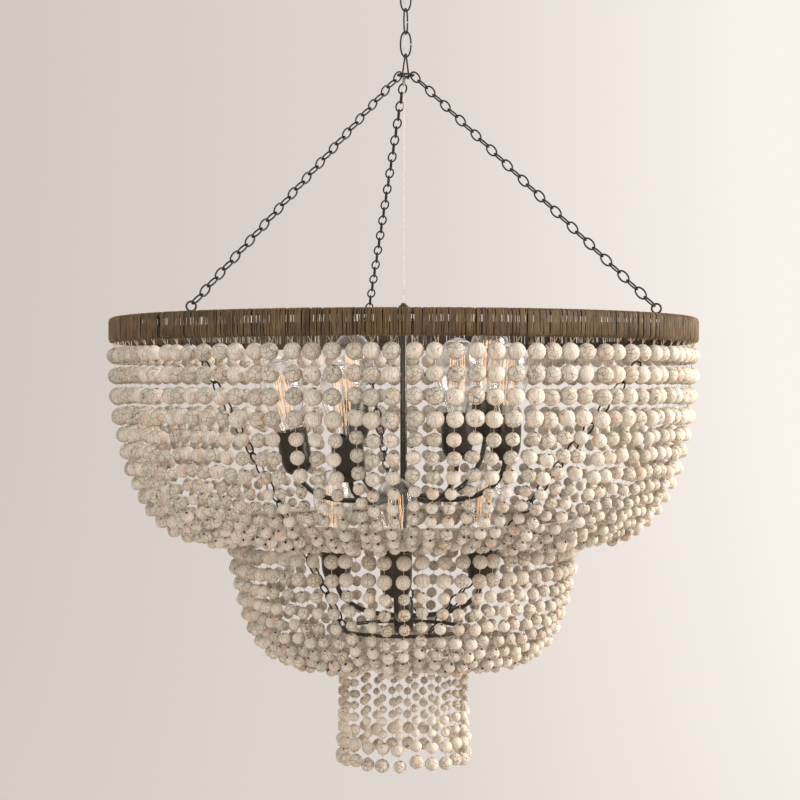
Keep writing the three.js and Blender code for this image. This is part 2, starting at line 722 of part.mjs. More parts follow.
// A cup with its lamp holder: the bore is wide at the rim, and narrow where it holds the bulb's cap.
function cup() {
  const rim = CUP_DIAMETER / 2;
  const floor = CUP_HEIGHT - CUP_BORE_DEPTH;
  const holder = BULB_CAP_DIAMETER / 2 + CLEARANCE;
  return turned(
    [
      [0, 0],
      [CUP_FOOT_DIAMETER / 2, 0],
      ...cupShares.map(([radius, height]) => [radius * rim, height * CUP_HEIGHT]),
      [rim, CUP_HEIGHT],
      [rim - CUP_WALL, CUP_HEIGHT],
      [rim - CUP_WALL, floor + BULB_CAP_DIAMETER],
      [holder, floor + BULB_CAP_DIAMETER],
      [holder, floor],
      [0, floor],
    ],
    ROUND_SIDES,
  );
}

function bulb() {
  const seat = CUP_HEIGHT - CUP_BORE_DEPTH + CLEARANCE;
  const cap = BULB_CAP_DIAMETER / 2;
  return turned(
    [
      [0, seat],
      [cap, seat],
      [cap, seat + BULB_CAP_DIAMETER],
      [BULB_NECK / 2, CUP_HEIGHT],
      ...bulbShares.map(([radius, height]) => [
        (radius * BULB_DIAMETER) / 2,
        CUP_HEIGHT + height * BULB_HEIGHT,
      ]),
      [0, CUP_HEIGHT + BULB_HEIGHT],
    ],
    ROUND_SIDES,
  );
}

function cupFoot(light, reach, hubLevel) {
  return polar(reach, light.azimuth, hubLevel + light.footShare * reach);
}

function arm(light, reach, hubLevel, dip) {
  const outward = polar(1, light.azimuth, 0);
  const up = new THREE.Vector3(0, 0, 1);
  const axis = up.clone().applyAxisAngle(polar(1, light.azimuth + 90, 0), radians(light.lean));
  const foot = cupFoot(light, reach, hubLevel).addScaledVector(axis, -CLEARANCE);
  const climb = foot.z - hubLevel + dip;
  const start = up.clone().multiplyScalar(hubLevel).addScaledVector(outward, stemBore + OVERRUN);
  const out = up.clone().multiplyScalar(hubLevel - dip).addScaledVector(outward, reach * ARM_OUT_SHARE);
  const under = foot.clone().addScaledVector(axis, -climb * ARM_UP_SHARE);
  return rod(new THREE.CubicBezierCurve3(start, out, under, foot), ARM_ROD, ARM_SIDES, ARM_STEPS);
}

function cluster(name, lights, reach, hub, dip) {
  const arms = lights.map((light) => arm(light, reach, hub.level, dip));
  piece(`${name}_arms`, join([boss(hub.diameter, hub.height, hub.level), ...arms]), iron);
  lights.forEach((light, i) => {
    const place = new THREE.Group();
    place.position.copy(cupFoot(light, reach, hub.level));
    place.quaternion.setFromAxisAngle(polar(1, light.azimuth + 90, 0), radians(light.lean));
    fixture.add(place);
    piece(`${name}_cup_${i + 1}`, cup(), iron, place);
    piece(`${name}_bulb_${i + 1}`, bulb(), clearGlass, place);
  });
}

cluster(
  "upper",
  UPPER_LIGHTS,
  UPPER_REACH,
  { diameter: UPPER_HUB_DIAMETER, height: UPPER_HUB_HEIGHT, level: bandTop - UPPER_HUB_DROP },
  UPPER_ARM_DIP,
);
cluster(
  "lower",
  LOWER_LIGHTS,
  LOWER_REACH,
  { diameter: LOWER_HUB_DIAMETER, height: LOWER_HUB_HEIGHT, level: bandTop - LOWER_HUB_DROP },
  LOWER_ARM_DIP,
);

// Bead tiers: each ring holds the lower ends of the strands that hang from the ring above.
const outerTop = { radius: bandMiddleRadius, level: bandFoot - CLEARANCE };
const outerStations = hangStrand(
  OUTER_BEADS,
  OUTER_TOP_THREAD,
  OUTER_END_THREAD,
  OUTER_CROWDING_SHARE,
  outerTop,
  middleRing,
);
piece(
  "middle_ring_and_outer_strands",
  join([
    hoop(middleRing.radius, MIDDLE_RING_ROD, 4, MIDDLE_RING_STEPS).translate(0, 0, middleRing.level),
    ...evenly(OUTER_STRANDS, OUTER_FIRST_AZIMUTH).map((azimuth) =>
      beadString(outerStations, OUTER_BEADS, azimuth),
    ),
  ]),
  whitewash,
);

const innerTop = {
  radius: middleRing.radius,
  level: middleRing.level - MIDDLE_RING_ROD / 2 - CLEARANCE,
};
const innerStations = hangStrand(
  INNER_BEADS,
  INNER_TOP_THREAD,
  INNER_END_THREAD,
  INNER_CROWDING_SHARE,
  innerTop,
  lowerRing,
);
piece(
  "lower_ring_and_inner_strands",
  join([
    hoop(lowerRing.radius, LOWER_RING_ROD, 4, LOWER_RING_STEPS).translate(0, 0, lowerRing.level),
    ...evenly(INNER_STRANDS, INNER_FIRST_AZIMUTH).map((azimuth) =>
      beadString(innerStations, INNER_BEADS, azimuth),
    ),
  ]),
  whitewash,
);

// Fringe: strands that hang free from the lower ring, each one by itself.
const fringeStations = [
  { radius: lowerRing.radius, level: lowerRing.level - LOWER_RING_ROD / 2 - CLEARANCE },
];
FRINGE_BEADS.forEach((bead, i) => {
  const above = i ? FRINGE_BEADS[i - 1] / 2 + KNOT_GAP : FRINGE_TOP_THREAD;
  const level = fringeStations.at(-1).level - above - bead / 2;
  fringeStations.push({ radius: lowerRing.radius, level });
});
const lastBead = FRINGE_BEADS.at(-1);
const fringeFoot = fringeStations.at(-1).level - lastBead / 2;
fringeStations.push({ radius: lowerRing.radius, level: fringeFoot });
evenly(FRINGE_STRANDS, FRINGE_FIRST_AZIMUTH).forEach((azimuth, i) => {
  const number = String(i + 1).padStart(2, "0");
  piece(`fringe_strand_${number}`, beadString(fringeStations, FRINGE_BEADS, azimuth), whitewash);
});

// Inner chains: drawn as lozenges, turn about wide and edge-on, one for each link.
function slackChain(start, end) {
  const along = end.clone().sub(start);
  const count = Math.round(along.length() / (SMALL_LINK_LENGTH - 2 * SMALL_LINK_WIRE));
  along.normalize();
  const side = new THREE.Vector3().crossVectors(along, new THREE.Vector3(0, 0, 1)).normalize();
  const other = new THREE.Vector3().crossVectors(along, side);
  const wide = SMALL_LINK_WIDTH / 2;
  const narrow = wide * INNER_CHAIN_FLAT_SHARE;
  const section = (place, sideways, otherways) => [
    place.clone().addScaledVector(side, sideways),
    place.clone().addScaledVector(other, otherways),
    place.clone().addScaledVector(side, -sideways),
    place.clone().addScaledVector(other, -otherways),
  ];
  const room = new THREE.Vector3(0, 0, narrow * Math.abs(other.z));
  const top = start.clone().sub(room);
  const foot = end.clone().add(room);
  const middles = Array.from({ length: count }, (_, i) => {
    const place = top.clone().lerp(foot, (i + 0.5) / count);
    return i % 2 ? section(place, wide, narrow) : section(place, narrow, wide);
  });
  return loft([section(top, narrow, narrow), ...middles, section(foot, narrow, narrow)]);
}

INNER_CHAIN_END_AZIMUTHS.forEach((azimuth, i) => {
  const start = polar(bandMiddleRadius, SLINGS[i].azimuth, bandFoot - CLEARANCE);
  const end = polar(lowerRing.radius, azimuth, lowerRing.level + LOWER_RING_ROD / 2 + CLEARANCE);
  piece(`inner_chain_${i + 1}`, slackChain(start, end), iron);
});

export default root;
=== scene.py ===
"""A beaded chandelier: three tiers of bead strands under a raffia-wrapped ring, with nine lights.

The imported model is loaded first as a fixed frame. Every one of its pieces is stood for here by a finished
piece of the same size and place. Metres, +Z up. The front looks towards -Y, and azimuths count from +X
towards +Y.
"""

import logging
import math
import random
from dataclasses import dataclass, field
from enum import Enum
from functools import cache, partial
from typing import Callable, Iterable, Sequence

import bmesh
import bpy
from mathutils import Euler, Matrix, Vector


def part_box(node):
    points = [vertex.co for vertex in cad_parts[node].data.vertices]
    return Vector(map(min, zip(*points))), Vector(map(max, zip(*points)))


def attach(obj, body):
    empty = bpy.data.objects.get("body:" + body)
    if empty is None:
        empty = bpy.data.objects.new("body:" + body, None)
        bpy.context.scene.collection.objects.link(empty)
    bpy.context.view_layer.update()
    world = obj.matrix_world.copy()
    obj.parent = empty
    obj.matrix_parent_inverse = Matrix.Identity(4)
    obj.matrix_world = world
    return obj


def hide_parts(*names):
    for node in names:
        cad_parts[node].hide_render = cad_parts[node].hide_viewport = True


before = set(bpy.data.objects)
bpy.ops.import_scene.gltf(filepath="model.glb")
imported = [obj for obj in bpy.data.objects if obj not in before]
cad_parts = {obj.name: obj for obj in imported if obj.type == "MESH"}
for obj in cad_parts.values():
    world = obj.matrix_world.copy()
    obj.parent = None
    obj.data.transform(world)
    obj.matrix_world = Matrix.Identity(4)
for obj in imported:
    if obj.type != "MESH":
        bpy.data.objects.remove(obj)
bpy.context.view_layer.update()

MM = 0.001
SEED = 7

log = logging.getLogger("chandelier")

Ring = list[Vector]
Pairs = Sequence[tuple[float, float]]
Socket = bpy.types.NodeSocket
Add = Callable[..., Sequence[Socket]]


def polar(radius: float, azimuth: float, level: float = 0.0) -> Vector:
    """The point at a radius and a level in metres and an azimuth in degrees."""
    angle = math.radians(azimuth)
    return Vector((radius * math.cos(angle), radius * math.sin(angle), level))


def upright(height: float) -> Vector:
    """A step straight up."""
    return Vector((0.0, 0.0, height))


def standing(level: float, azimuth: float = 0.0) -> Matrix:
    """The frame of a thing that stands at a level, turned to an azimuth in degrees."""
    return Matrix.Translation(upright(level)) @ Matrix.Rotation(math.radians(azimuth), 4, "Z")


def evenly(count: int, first: float = 0.0) -> list[float]:
    """Azimuths in degrees that share a full turn evenly, from a first one."""
    return [first + i * 360.0 / count for i in range(count)]


def circle(radius: float, level: float, count: int) -> Ring:
    """Points evenly round an upright axis."""
    return [polar(radius, azimuth, level) for azimuth in evenly(count)]


def ring_axis() -> Vector:
    """Where the main ring's axis stands. The suspension hangs at X = Y = 0, plumb over the centre of mass."""
    low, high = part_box("stem")
    return Vector(((low[0] + high[0]) / 2, (low[1] + high[1]) / 2, 0.0))


HOOK = Vector((0.0, 0.0, 0.0))
AXIS = ring_axis()
CLEARANCE = 0.3 * MM
MAIN_RADIUS = 449.25 * MM
MAIN_TOP = -517 * MM
MAIN_HEIGHT = 39 * MM
STEM = 11 * MM


def linear(colour: str) -> tuple[float, float, float, float]:
    """Turns an sRGB hex colour, such as "#cbbfae", to linear red, green, blue and a full alpha.

    Args:
        colour: The hex colour, with its "#".

    Returns:
        The four linear values.
    """
    channels = [int(colour[i : i + 2], 16) / 255.0 for i in (1, 3, 5)]
    bright = [c / 12.92 if c <= 0.04045 else ((c + 0.055) / 1.055) ** 2.4 for c in channels]
    return (bright[0], bright[1], bright[2], 1.0)


def add_node(
    tree: bpy.types.NodeTree,
    kind: str | bpy.types.Node,
    inputs: dict[str | int, object] | None = None,
    **settings: object,
) -> Sequence[Socket]:
    """Adds a node to a tree, or feeds one that is there.

    Args:
        tree: The tree of a material, a world or a Geometry Nodes modifier.
        kind: The new node's type name, or the node that is there.
        inputs: Socket names or places, each with a value or with a socket to link from.
        settings: Properties of the node itself.

    Returns:
        The node's outputs.
    """
    node = tree.nodes.new(kind) if isinstance(kind, str) else kind
    for name, value in settings.items():
        setattr(node, name, value)
    for name, value in (inputs or {}).items():
        if isinstance(value, Socket):
            tree.links.new(value, node.inputs[name])
        else:
            node.inputs[name].default_value = value
    return node.outputs


def seen(add: Add) -> Socket:
    """One where the camera sees something straight, in a gloss or through glass, and nought for the light.

    Args:
        add: Adds a node to the tree.

    Returns:
        The share that is seen.
    """
    path = add("ShaderNodeLightPath")
    straight = {0: path["Is Camera Ray"], 1: path["Is Transmission Ray"]}
    either = add("ShaderNodeMath", straight, operation="MAXIMUM")[0]
    return add("ShaderNodeMath", {0: either, 1: path["Is Glossy Ray"]}, operation="MAXIMUM")[0]


# Finishes


@dataclass(frozen=True)
class Finish:
    """A finish of one real material. Each kind of finish draws its own nodes over this ground."""

    name: str
    slot: str
    colour: str
    roughness: float = 0.5
    metallic: float = 0.0
    ior: float = 1.45

    def material(self) -> bpy.types.Material:
        """Makes the material with the plain values set, and draws its pattern over them.

        Returns:
            The material.
        """
        material = bpy.data.materials.new(self.name)
        material.use_nodes = True
        add = partial(add_node, material.node_tree)
        shader = material.node_tree.nodes["Principled BSDF"]
        plain = {"Base Color": linear(self.colour), "Roughness": self.roughness, "Metallic": self.metallic}
        if not self.metallic:
            plain["IOR"] = self.ior
        add(shader, plain)
        self.draw(add, shader, add("ShaderNodeTexCoord")["Object"])
        return material

    def draw(self, add: Add, shader: bpy.types.Node, place: Socket) -> None:
        """Draws the finish's own nodes.

        Args:
            add: Adds a node to the material.
            shader: The material's shader.
            place: The point on the piece, in metres.
        """


@dataclass(frozen=True)
class Whitewash(Finish):
    """Turned wood under a thin chalky wash that has crackled: pale cells, hairlines, faint tints, and painted
    shade in the bore.

    On some beads the lines run from mouth to mouth, as the wood's grain does, and not in cells.
    """

    light: str = "#f6ede0"
    line: str = "#4a3d32"
    warm: str = "#dcc0a6"
    cool: str = "#cfcfbb"
    # Painted shade: the drilled hole darkened nearly to black
    bore: str = "#2a1f17"
    cell: float = 8.5 * MM
    bend: float = 6 * MM
    drift_scale: float = 0.6
    tint_scale: float = 0.45
    grain_lines: float = 13.0
    grain_width: float = 0.09
    grain_depth: float = 0.7
    grain_sway: float = 4.0
    relief: float = 0.4
    depth: float = 0.3 * MM
    # The bead's own number from which grain lines take the place of the cells, and where they have done so
    grained: tuple[float, float] = (0.6, 0.62)
    # How much finer than the cells, how wide a line, how dark
    webs: tuple[tuple[float, float, float], ...] = ((1.0, 0.055, 0.9), (2.6, 0.12, 0.34))
    # Where the noise starts to tint, where it tints in full, how much: first the warm tint, then the cool one
    tints: tuple[tuple[float, float, float], ...] = ((0.53, 0.7, 0.75), (0.45, 0.3, 0.7))

    def draw(self, add: Add, shader: bpy.types.Node, place: Socket) -> None:
        """The wash with its cells, lines, tints, and the painted shade of its drilled hole.

        Args:
            add: Adds a node to the material.
            shader: The material's shader.
            place: The point on the piece.
        """
        tone = add("ShaderNodeAttribute", attribute_name="tone")["Fac"]
        # Where the bore is: there the hole's shade is painted
        hole = add("ShaderNodeAttribute", attribute_name="bore")["Fac"]
        lines = self._lines(add, place, tone)
        clouds = {"Vector": place, "Scale": self.tint_scale / self.cell, "Detail": 2.0}
        tint = add("ShaderNodeTexNoise", clouds)["Fac"]
        to_warm, to_cool = (
            add("ShaderNodeMapRange", {0: tint, 1: start, 2: full, 4: most})[0]
            for start, full, most in self.tints
        )
        colour = linear(self.colour)
        for share, shade in (
            (tone, self.light),
            (to_warm, self.warm),
            (to_cool, self.cool),
            (lines, self.line),
            (hole, self.bore),
        ):
            colour = add("ShaderNodeMix", {0: share, 6: colour, 7: linear(shade)}, data_type="RGBA")[2]
        sunk = add("ShaderNodeMath", {0: 1.0, 1: lines}, operation="SUBTRACT")[0]
        bump = add("ShaderNodeBump", {"Strength": self.relief, "Distance": self.depth, "Height": sunk})[0]
        add(shader, {"Base Color": colour, "Normal": bump})

    def _lines(self, add: Add, place: Socket, tone: Socket) -> Socket:
        """Where the hairlines are.

        Args:
            add: Adds a node to the material.
            place: The point on the piece.
            tone: Each bead's own number, from 0 to 1.

        Returns:
            1 in the middle of a dark line, 0 off the lines.
        """
        sway = {"Vector": place, "Scale": self.drift_scale / self.cell, "Detail": 1.0}
        drift = add("ShaderNodeTexNoise", sway)
        bent = add("ShaderNodeVectorMath", {0: drift["Color"], 1: (self.bend,) * 3}, operation="MULTIPLY")[0]
        warped = add("ShaderNodeVectorMath", {0: place, 1: bent})[0]
        webs = []
        for finer, width, depth in self.webs:
            cells = {"Vector": warped, "Scale": finer / self.cell}
            edge = add("ShaderNodeTexVoronoi", cells, feature="DISTANCE_TO_EDGE")[0]
            webs.append(add("ShaderNodeMapRange", {0: edge, 2: width, 3: depth, 4: 0.0})[0])
        local = add("ShaderNodeAttribute", attribute_name="local")["Vector"]
        split = add("ShaderNodeSeparateXYZ", {0: local})
        angle = add("ShaderNodeMath", {0: split["Y"], 1: split["X"]}, operation="ARCTAN2")[0]
        wander = add("ShaderNodeMath", {0: drift["Fac"], 1: self.grain_sway}, operation="MULTIPLY")[0]
        round_bead = {0: angle, 1: self.grain_lines / (2 * math.pi), 2: wander}
        turns = add("ShaderNodeMath", round_bead, operation="MULTIPLY_ADD")[0]
        wave = add("ShaderNodeMath", {0: turns, 1: 0.5}, operation="PINGPONG")[0]
        line = {0: wave, 2: self.grain_width, 3: self.grain_depth, 4: 0.0}
        grain = add("ShaderNodeMapRange", line)[0]
        grained = add("ShaderNodeMapRange", {0: tone, 1: self.grained[0], 2: self.grained[1]})[0]
        either = add("ShaderNodeMix", {0: grained, 2: webs[0], 3: grain})[0]
        return add("ShaderNodeMath", {0: either, 1: webs[1]}, operation="MAXIMUM")[0]


@dataclass(frozen=True)
class Fibre(Finish):
    """Dry raffia strands: each has its own tone, streaks along it, and the bundles differ a little.

    Inside the ring their colour is darkened as painted shade, and outside it they keep their full tone.
    Real streaks are a tenth of a millimetre wide: they are drawn coarser here, as wide as they need to show.
    """

    dark: str = "#33271a"
    pale: str = "#86704f"
    glow: str = "#e9cfa4"
    # How much of its colour a strand keeps inside the ring: painted shade there
    inside: float = 0.5
    sheen: float = 0.45
    streak: float = 1.6 * MM
    bundle: float = 30 * MM
    stretch: float = 0.12
    tone_share: float = 0.26
    layer_share: float = 0.6
    sheen_roughness: float = 0.35
    relief: float = 0.35
    depth: float = 0.3 * MM
    # Where the dark, the middle and the pale tone lie in the mix of layers
    stops: tuple[float, float, float] = (0.4, 0.7, 0.98)
    # Where the painted shade inside the ring starts to lift and where it is gone, from the ring's middle
    # radius outward
    fade: tuple[float, float] = (-5 * MM, 3 * MM)

    def draw(self, add: Add, shader: bpy.types.Node, place: Socket) -> None:
        """The strands' tones, streaks and bundles, and the painted shade inside the ring.

        Args:
            add: Adds a node to the material.
            shader: The material's shader.
            place: The point on the piece.
        """
        tone = add("ShaderNodeAttribute", attribute_name="tone")["Fac"]
        drawn = add("ShaderNodeVectorMath", {0: place, 1: (1.0, 1.0, self.stretch)}, operation="MULTIPLY")[0]
        fine = {"Vector": drawn, "Scale": 1.0 / self.streak, "Detail": 3.0}
        streaks = add("ShaderNodeTexNoise", fine)["Fac"]
        broad = {"Vector": place, "Scale": 1.0 / self.bundle, "Detail": 2.0}
        bundles = add("ShaderNodeTexNoise", broad)["Fac"]
        mixed = add("ShaderNodeMath", {0: tone, 1: self.tone_share}, operation="MULTIPLY")[0]
        for layer in (streaks, bundles):
            added = {0: layer, 1: self.layer_share, 2: mixed}
            mixed = add("ShaderNodeMath", added, operation="MULTIPLY_ADD")[0]
        ramp = add("ShaderNodeValToRGB", {0: mixed})[0]
        stops = ramp.node.color_ramp.elements
        stops[0].position, stops[0].color = self.stops[0], linear(self.dark)
        stops[1].position, stops[1].color = self.stops[2], linear(self.pale)
        stops.new(self.stops[1]).color = linear(self.colour)
        # Painted shade: the colour is darkened towards the ring's inner side
        from_axis = add("ShaderNodeVectorMath", {0: place, 1: tuple(AXIS)}, operation="SUBTRACT")[0]
        level = add("ShaderNodeVectorMath", {0: from_axis, 1: (1.0, 1.0, 0.0)}, operation="MULTIPLY")[0]
        reach = add("ShaderNodeVectorMath", {0: level}, operation="LENGTH")["Value"]
        ends = {1: MAIN_RADIUS + self.fade[0], 2: MAIN_RADIUS + self.fade[1], 3: self.inside, 4: 1.0}
        painted_shade_factor = add("ShaderNodeMapRange", {0: reach, **ends})[0]
        shaded = add("ShaderNodeVectorMath", {0: ramp, "Scale": painted_shade_factor}, operation="SCALE")[0]
        bump = add("ShaderNodeBump", {"Strength": self.relief, "Distance": self.depth, "Height": streaks})[0]
        sheen = {"Sheen Weight": self.sheen, "Sheen Roughness": self.sheen_roughness}
        add(shader, {"Base Color": shaded, "Normal": bump, "Sheen Tint": linear(self.glow), **sheen})


@dataclass(frozen=True)
class PaintedIron(Finish):
    """Forged or drawn metal under a thin coat: slightly uneven, with a soft sheen and rubbed specks."""

    rubbed: str = "#6b6259"
    grit: float = 2.5 * MM
    cloud_scale: float = 0.2
    speck_share: float = 0.6
    relief: float = 0.25
    depth: float = 0.2 * MM
    # Where the clouds' noise starts and ends to change the roughness, and by how much at each end
    cloud_band: tuple[float, float] = (0.3, 0.7)
    uneven: tuple[float, float] = (-0.1, 0.12)
    # Where the grain's noise starts to make specks, and where they are full
    speck_band: tuple[float, float] = (0.62, 0.74)

    def draw(self, add: Add, shader: bpy.types.Node, place: Socket) -> None:
        """The coat with its unevenness and specks.

        Args:
            add: Adds a node to the material.
            shader: The material's shader.
            place: The point on the piece.
        """
        cloud, grain = (
            add("ShaderNodeTexNoise", {"Vector": place, "Scale": scale / self.grit, "Detail": 3.0})["Fac"]
            for scale in (self.cloud_scale, 1.0)
        )
        rub = {0: grain, 1: self.speck_band[0], 2: self.speck_band[1], 3: 0.0, 4: self.speck_share}
        specks = add("ShaderNodeMapRange", rub)[0]
        tones = {0: specks, 6: linear(self.colour), 7: linear(self.rubbed)}
        coat = add("ShaderNodeMix", tones, data_type="RGBA")[2]
        least, most = (self.roughness + change for change in self.uneven)
        band = {1: self.cloud_band[0], 2: self.cloud_band[1], 3: least, 4: most}
        gloss = add("ShaderNodeMapRange", {0: cloud, **band})[0]
        bump = add("ShaderNodeBump", {"Strength": self.relief, "Distance": self.depth, "Height": grain})[0]
        add(shader, {"Base Color": coat, "Roughness": gloss, "Normal": bump})


@dataclass(frozen=True)
class Cotton(Finish):
    """Loosely spun cotton: off-white, matt, with a fine twist, drawn a little coarser than it is, and painted
    shade in its grooves.
    """

    # Painted shade: the darker colour in the twist's grooves, where the bump is low
    shade: str = "#cdc2b2"
    twist: float = 1.2 * MM
    band_scale: float = 0.2
    uneven: float = 2.0
    relief: float = 0.4
    depth: float = 0.2 * MM

    def draw(self, add: Add, shader: bpy.types.Node, place: Socket) -> None:
        """The yarn with its twist as a fine bump, and painted shade that darkens it where the bump is low.

        Args:
            add: Adds a node to the material.
            shader: The material's shader.
            place: The point on the piece.
        """
        turns = {"Vector": place, "Scale": self.band_scale / self.twist, "Distortion": self.uneven}
        plies = add("ShaderNodeTexWave", turns, bands_direction="DIAGONAL")["Fac"]
        tones = {0: plies, 6: linear(self.shade), 7: linear(self.colour)}
        yarn = add("ShaderNodeMix", tones, data_type="RGBA")[2]
        bump = add("ShaderNodeBump", {"Strength": self.relief, "Distance": self.depth, "Height": plies})[0]
        add(shader, {"Base Color": yarn, "Normal": bump})


@dataclass(frozen=True)
class Clear(Finish):
    """Blown glass. It lets the light through and keeps a slight waviness."""

    wave: float = 30 * MM
    relief: float = 0.04
    depth: float = 0.5 * MM

    def draw(self, add: Add, shader: bpy.types.Node, place: Socket) -> None:
        """The clear body with its waviness.

        Args:
            add: Adds a node to the material.
            shader: The material's shader.
            place: The point on the piece.
        """
        waves = add("ShaderNodeTexNoise", {"Vector": place, "Scale": 1.0 / self.wave, "Detail": 1.0})["Fac"]
        bump = add("ShaderNodeBump", {"Strength": self.relief, "Distance": self.depth, "Height": waves})[0]
        add(shader, {"Transmission Weight": 1.0, "Normal": bump})


@dataclass(frozen=True)
class Pale(Finish):
    """Soft clear plastic that shows mostly what is behind it, with a pale milky skin."""

    body: float = 0.16
    spread: float = 0.06
    cloud: float = 8 * MM

    def draw(self, add: Add, shader: bpy.types.Node, place: Socket) -> None:
        """The milky skin over what is behind.

        Args:
            add: Adds a node to the material.
            shader: The material's shader.
            place: The point on the piece.
        """
        milk = add("ShaderNodeTexNoise", {"Vector": place, "Scale": 1.0 / self.cloud, "Detail": 1.0})["Fac"]
        ends = {3: self.body - self.spread, 4: self.body + self.spread}
        share = add("ShaderNodeMapRange", {0: milk, **ends})[0]
        add(shader, {"Alpha": share})


@dataclass(frozen=True)
class Glow(Finish):
    """A heated filament: it gives an even orange light of its own."""

    deep: str = "#f7b67c"
    bright: str = "#fbdcb4"
    beats_per_metre: float = 120.0

    def draw(self, add: Add, shader: bpy.types.Node, place: Socket) -> None:
        """The glowing wire, hotter here and there.

        Args:
            add: Adds a node to the material.
            shader: The material's shader.
            place: The point on the piece.
        """
        beat = add("ShaderNodeTexNoise", {"Vector": place, "Scale": self.beats_per_metre})["Fac"]
        tones = {0: beat, 6: linear(self.deep), 7: linear(self.bright)}
        heat = add("ShaderNodeMix", tones, data_type="RGBA")[2]
        add(shader, {"Emission Color": heat, "Emission Strength": 1.0})


@dataclass(frozen=True)
class Paper(Finish):
    """Matt backdrop paper that shows the camera its own colour, with painted light: lighter to the right."""

    # Painted light: the paper's colour runs from this darker left to the lighter right
    left: str = "#d6cdc6"
    right: str = "#fff8f1"
    reach: float = 2.0
    middle: float = 0.55
    own_light: float = 0.92

    def draw(self, add: Add, shader: bpy.types.Node, place: Socket) -> None:
        """The paper's tones, lighter to the right as painted light, of which most is a light of its own where
        the camera looks.

        Args:
            add: Adds a node to the material.
            shader: The material's shader.
            place: The point on the piece.
        """
        split = add("ShaderNodeSeparateXYZ", {0: place})
        across = add("ShaderNodeMapRange", {0: split["X"], 1: -self.reach, 2: self.reach})[0]
        ramp = add("ShaderNodeValToRGB", {0: across})[0]
        stops = ramp.node.color_ramp.elements
        stops[0].color = linear(self.left)
        stops[1].color = linear(self.right)
        stops.new(self.middle).color = linear(self.colour)
        lit = add(shader, {"Base Color": ramp})[0]
        glow = add("ShaderNodeEmission", {"Color": ramp, "Strength": 1.0})[0]
        share = add("ShaderNodeMath", {0: seen(add), 1: self.own_light}, operation="MULTIPLY")[0]
        mixed = add("ShaderNodeMixShader", {0: share, 1: lit, 2: glow})[0]
        add(shader.id_data.nodes["Material Output"], {"Surface": mixed})


class Stuff(Enum):
    """The finishes of this chandelier and of the backdrop."""

    # Steel wire, bent and blackened: nearly black, with a dull gleam and paler specks where links have rubbed
    CHAIN_IRON = PaintedIron("blackened_iron_wire", "chain_iron", "#2b2927", 0.5, 0.35, rubbed="#55504b")
    # Forged arms and spun cups in bronze paint: a dark brown metal with a broad soft shine
    LIGHT_IRON = PaintedIron("bronze_painted_iron", "light_iron", "#4b463f", 0.3, 0.85)
    # The eyes' wire, gone dark with age: grey-black and dull
    DARK_WIRE = PaintedIron("darkened_wire", "galvanised_wire", "#33312f", 0.5, 0.4, rubbed="#5d5954")
    # Zinc-coated wire: a mid grey metal with a soft cloudy shine
    GALVANISED = PaintedIron("galvanised_wire", "galvanised_wire", "#85817b", 0.5, 0.8, rubbed="#a3a09a")
    # Wood turned to balls and dipped in chalky wash: dry, pale, with dark hairlines
    BEADS = Whitewash("whitewashed_turned_wood", "whitewashed_beads", "#d5cdbe", 0.72)
    # Undyed thread: matt off-white
    COTTON = Cotton("spun_cotton", "whitewashed_beads", "#e9dfcd", 0.9)
    # Dried palm leaf in narrow strips: brown, streaked, with a straw-coloured sheen
    RAFFIA = Fibre("wound_raffia", "raffia", "#66523a", 0.6)
    # The same leaf under the outer strands, which the light doesn't reach: a darker, flat copy whose colour
    # is painted shade
    SHADED_RAFFIA = Fibre("shaded_raffia", "raffia", "#5b4930", 0.9, dark="#413324", pale="#6e5a3c")
    # Blown soda glass: clear, with bright edges and a slight wave
    GLASS = Clear("blown_clear_glass", "bulb_glass", "#ffffff", 0.06)
    # Soft PVC, extruded: clear, with a faint milky skin
    LEAD = Pale("clear_soft_pvc", "clear_lead", "#f3efe9", 0.35, ior=1.4)
    # Tinned copper strands: pale silvery threads inside the flex
    COPPER = PaintedIron("tinned_copper_strand", "clear_lead", "#cfc8c1", 0.5, 0.3, rubbed="#ded8d1")
    # Rolled sheet brass: yellow metal with a tight shine
    BRASS = PaintedIron("rolled_brass", "bulb_glass", "#b08d57", 0.3, 1.0, rubbed="#d1b381")
    # Tungsten or carbon at a low heat: an even amber light
    FILAMENT = Glow("heated_filament", "bulb_glass", "#f4c79b", 0.6)
    # Studio paper, not a part of the object
    PAPER = Paper("backdrop_paper", "", "#e4dbd5", 0.9, ior=1.5)

    @cache
    def material(self) -> bpy.types.Material:
        """Its material, made once."""
        return self.value.material()


def settle(
    piece: bpy.types.Object, stuff: Stuff, *nodes: str, body: str = "fixture", axis: Vector = AXIS
) -> None:
    """Puts a piece in its place, makes it ride on its body and lets it stand for CAD nodes.

    Args:
        piece: The finished piece.
        stuff: Not used.
        nodes: The CAD nodes it stands for.
        body: The body it rides on.
        axis: Where the upright line that it was made round stands.
    """
    piece.data.transform(Matrix.Translation(axis))
    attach(piece, body)
    if nodes:
        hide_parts(*nodes)
    faces = sum(len(p.vertices) - 2 for p in piece.data.polygons)
    log.info("%s rides on %s, %d triangles", piece.name, body, faces)


# Shapes made in code


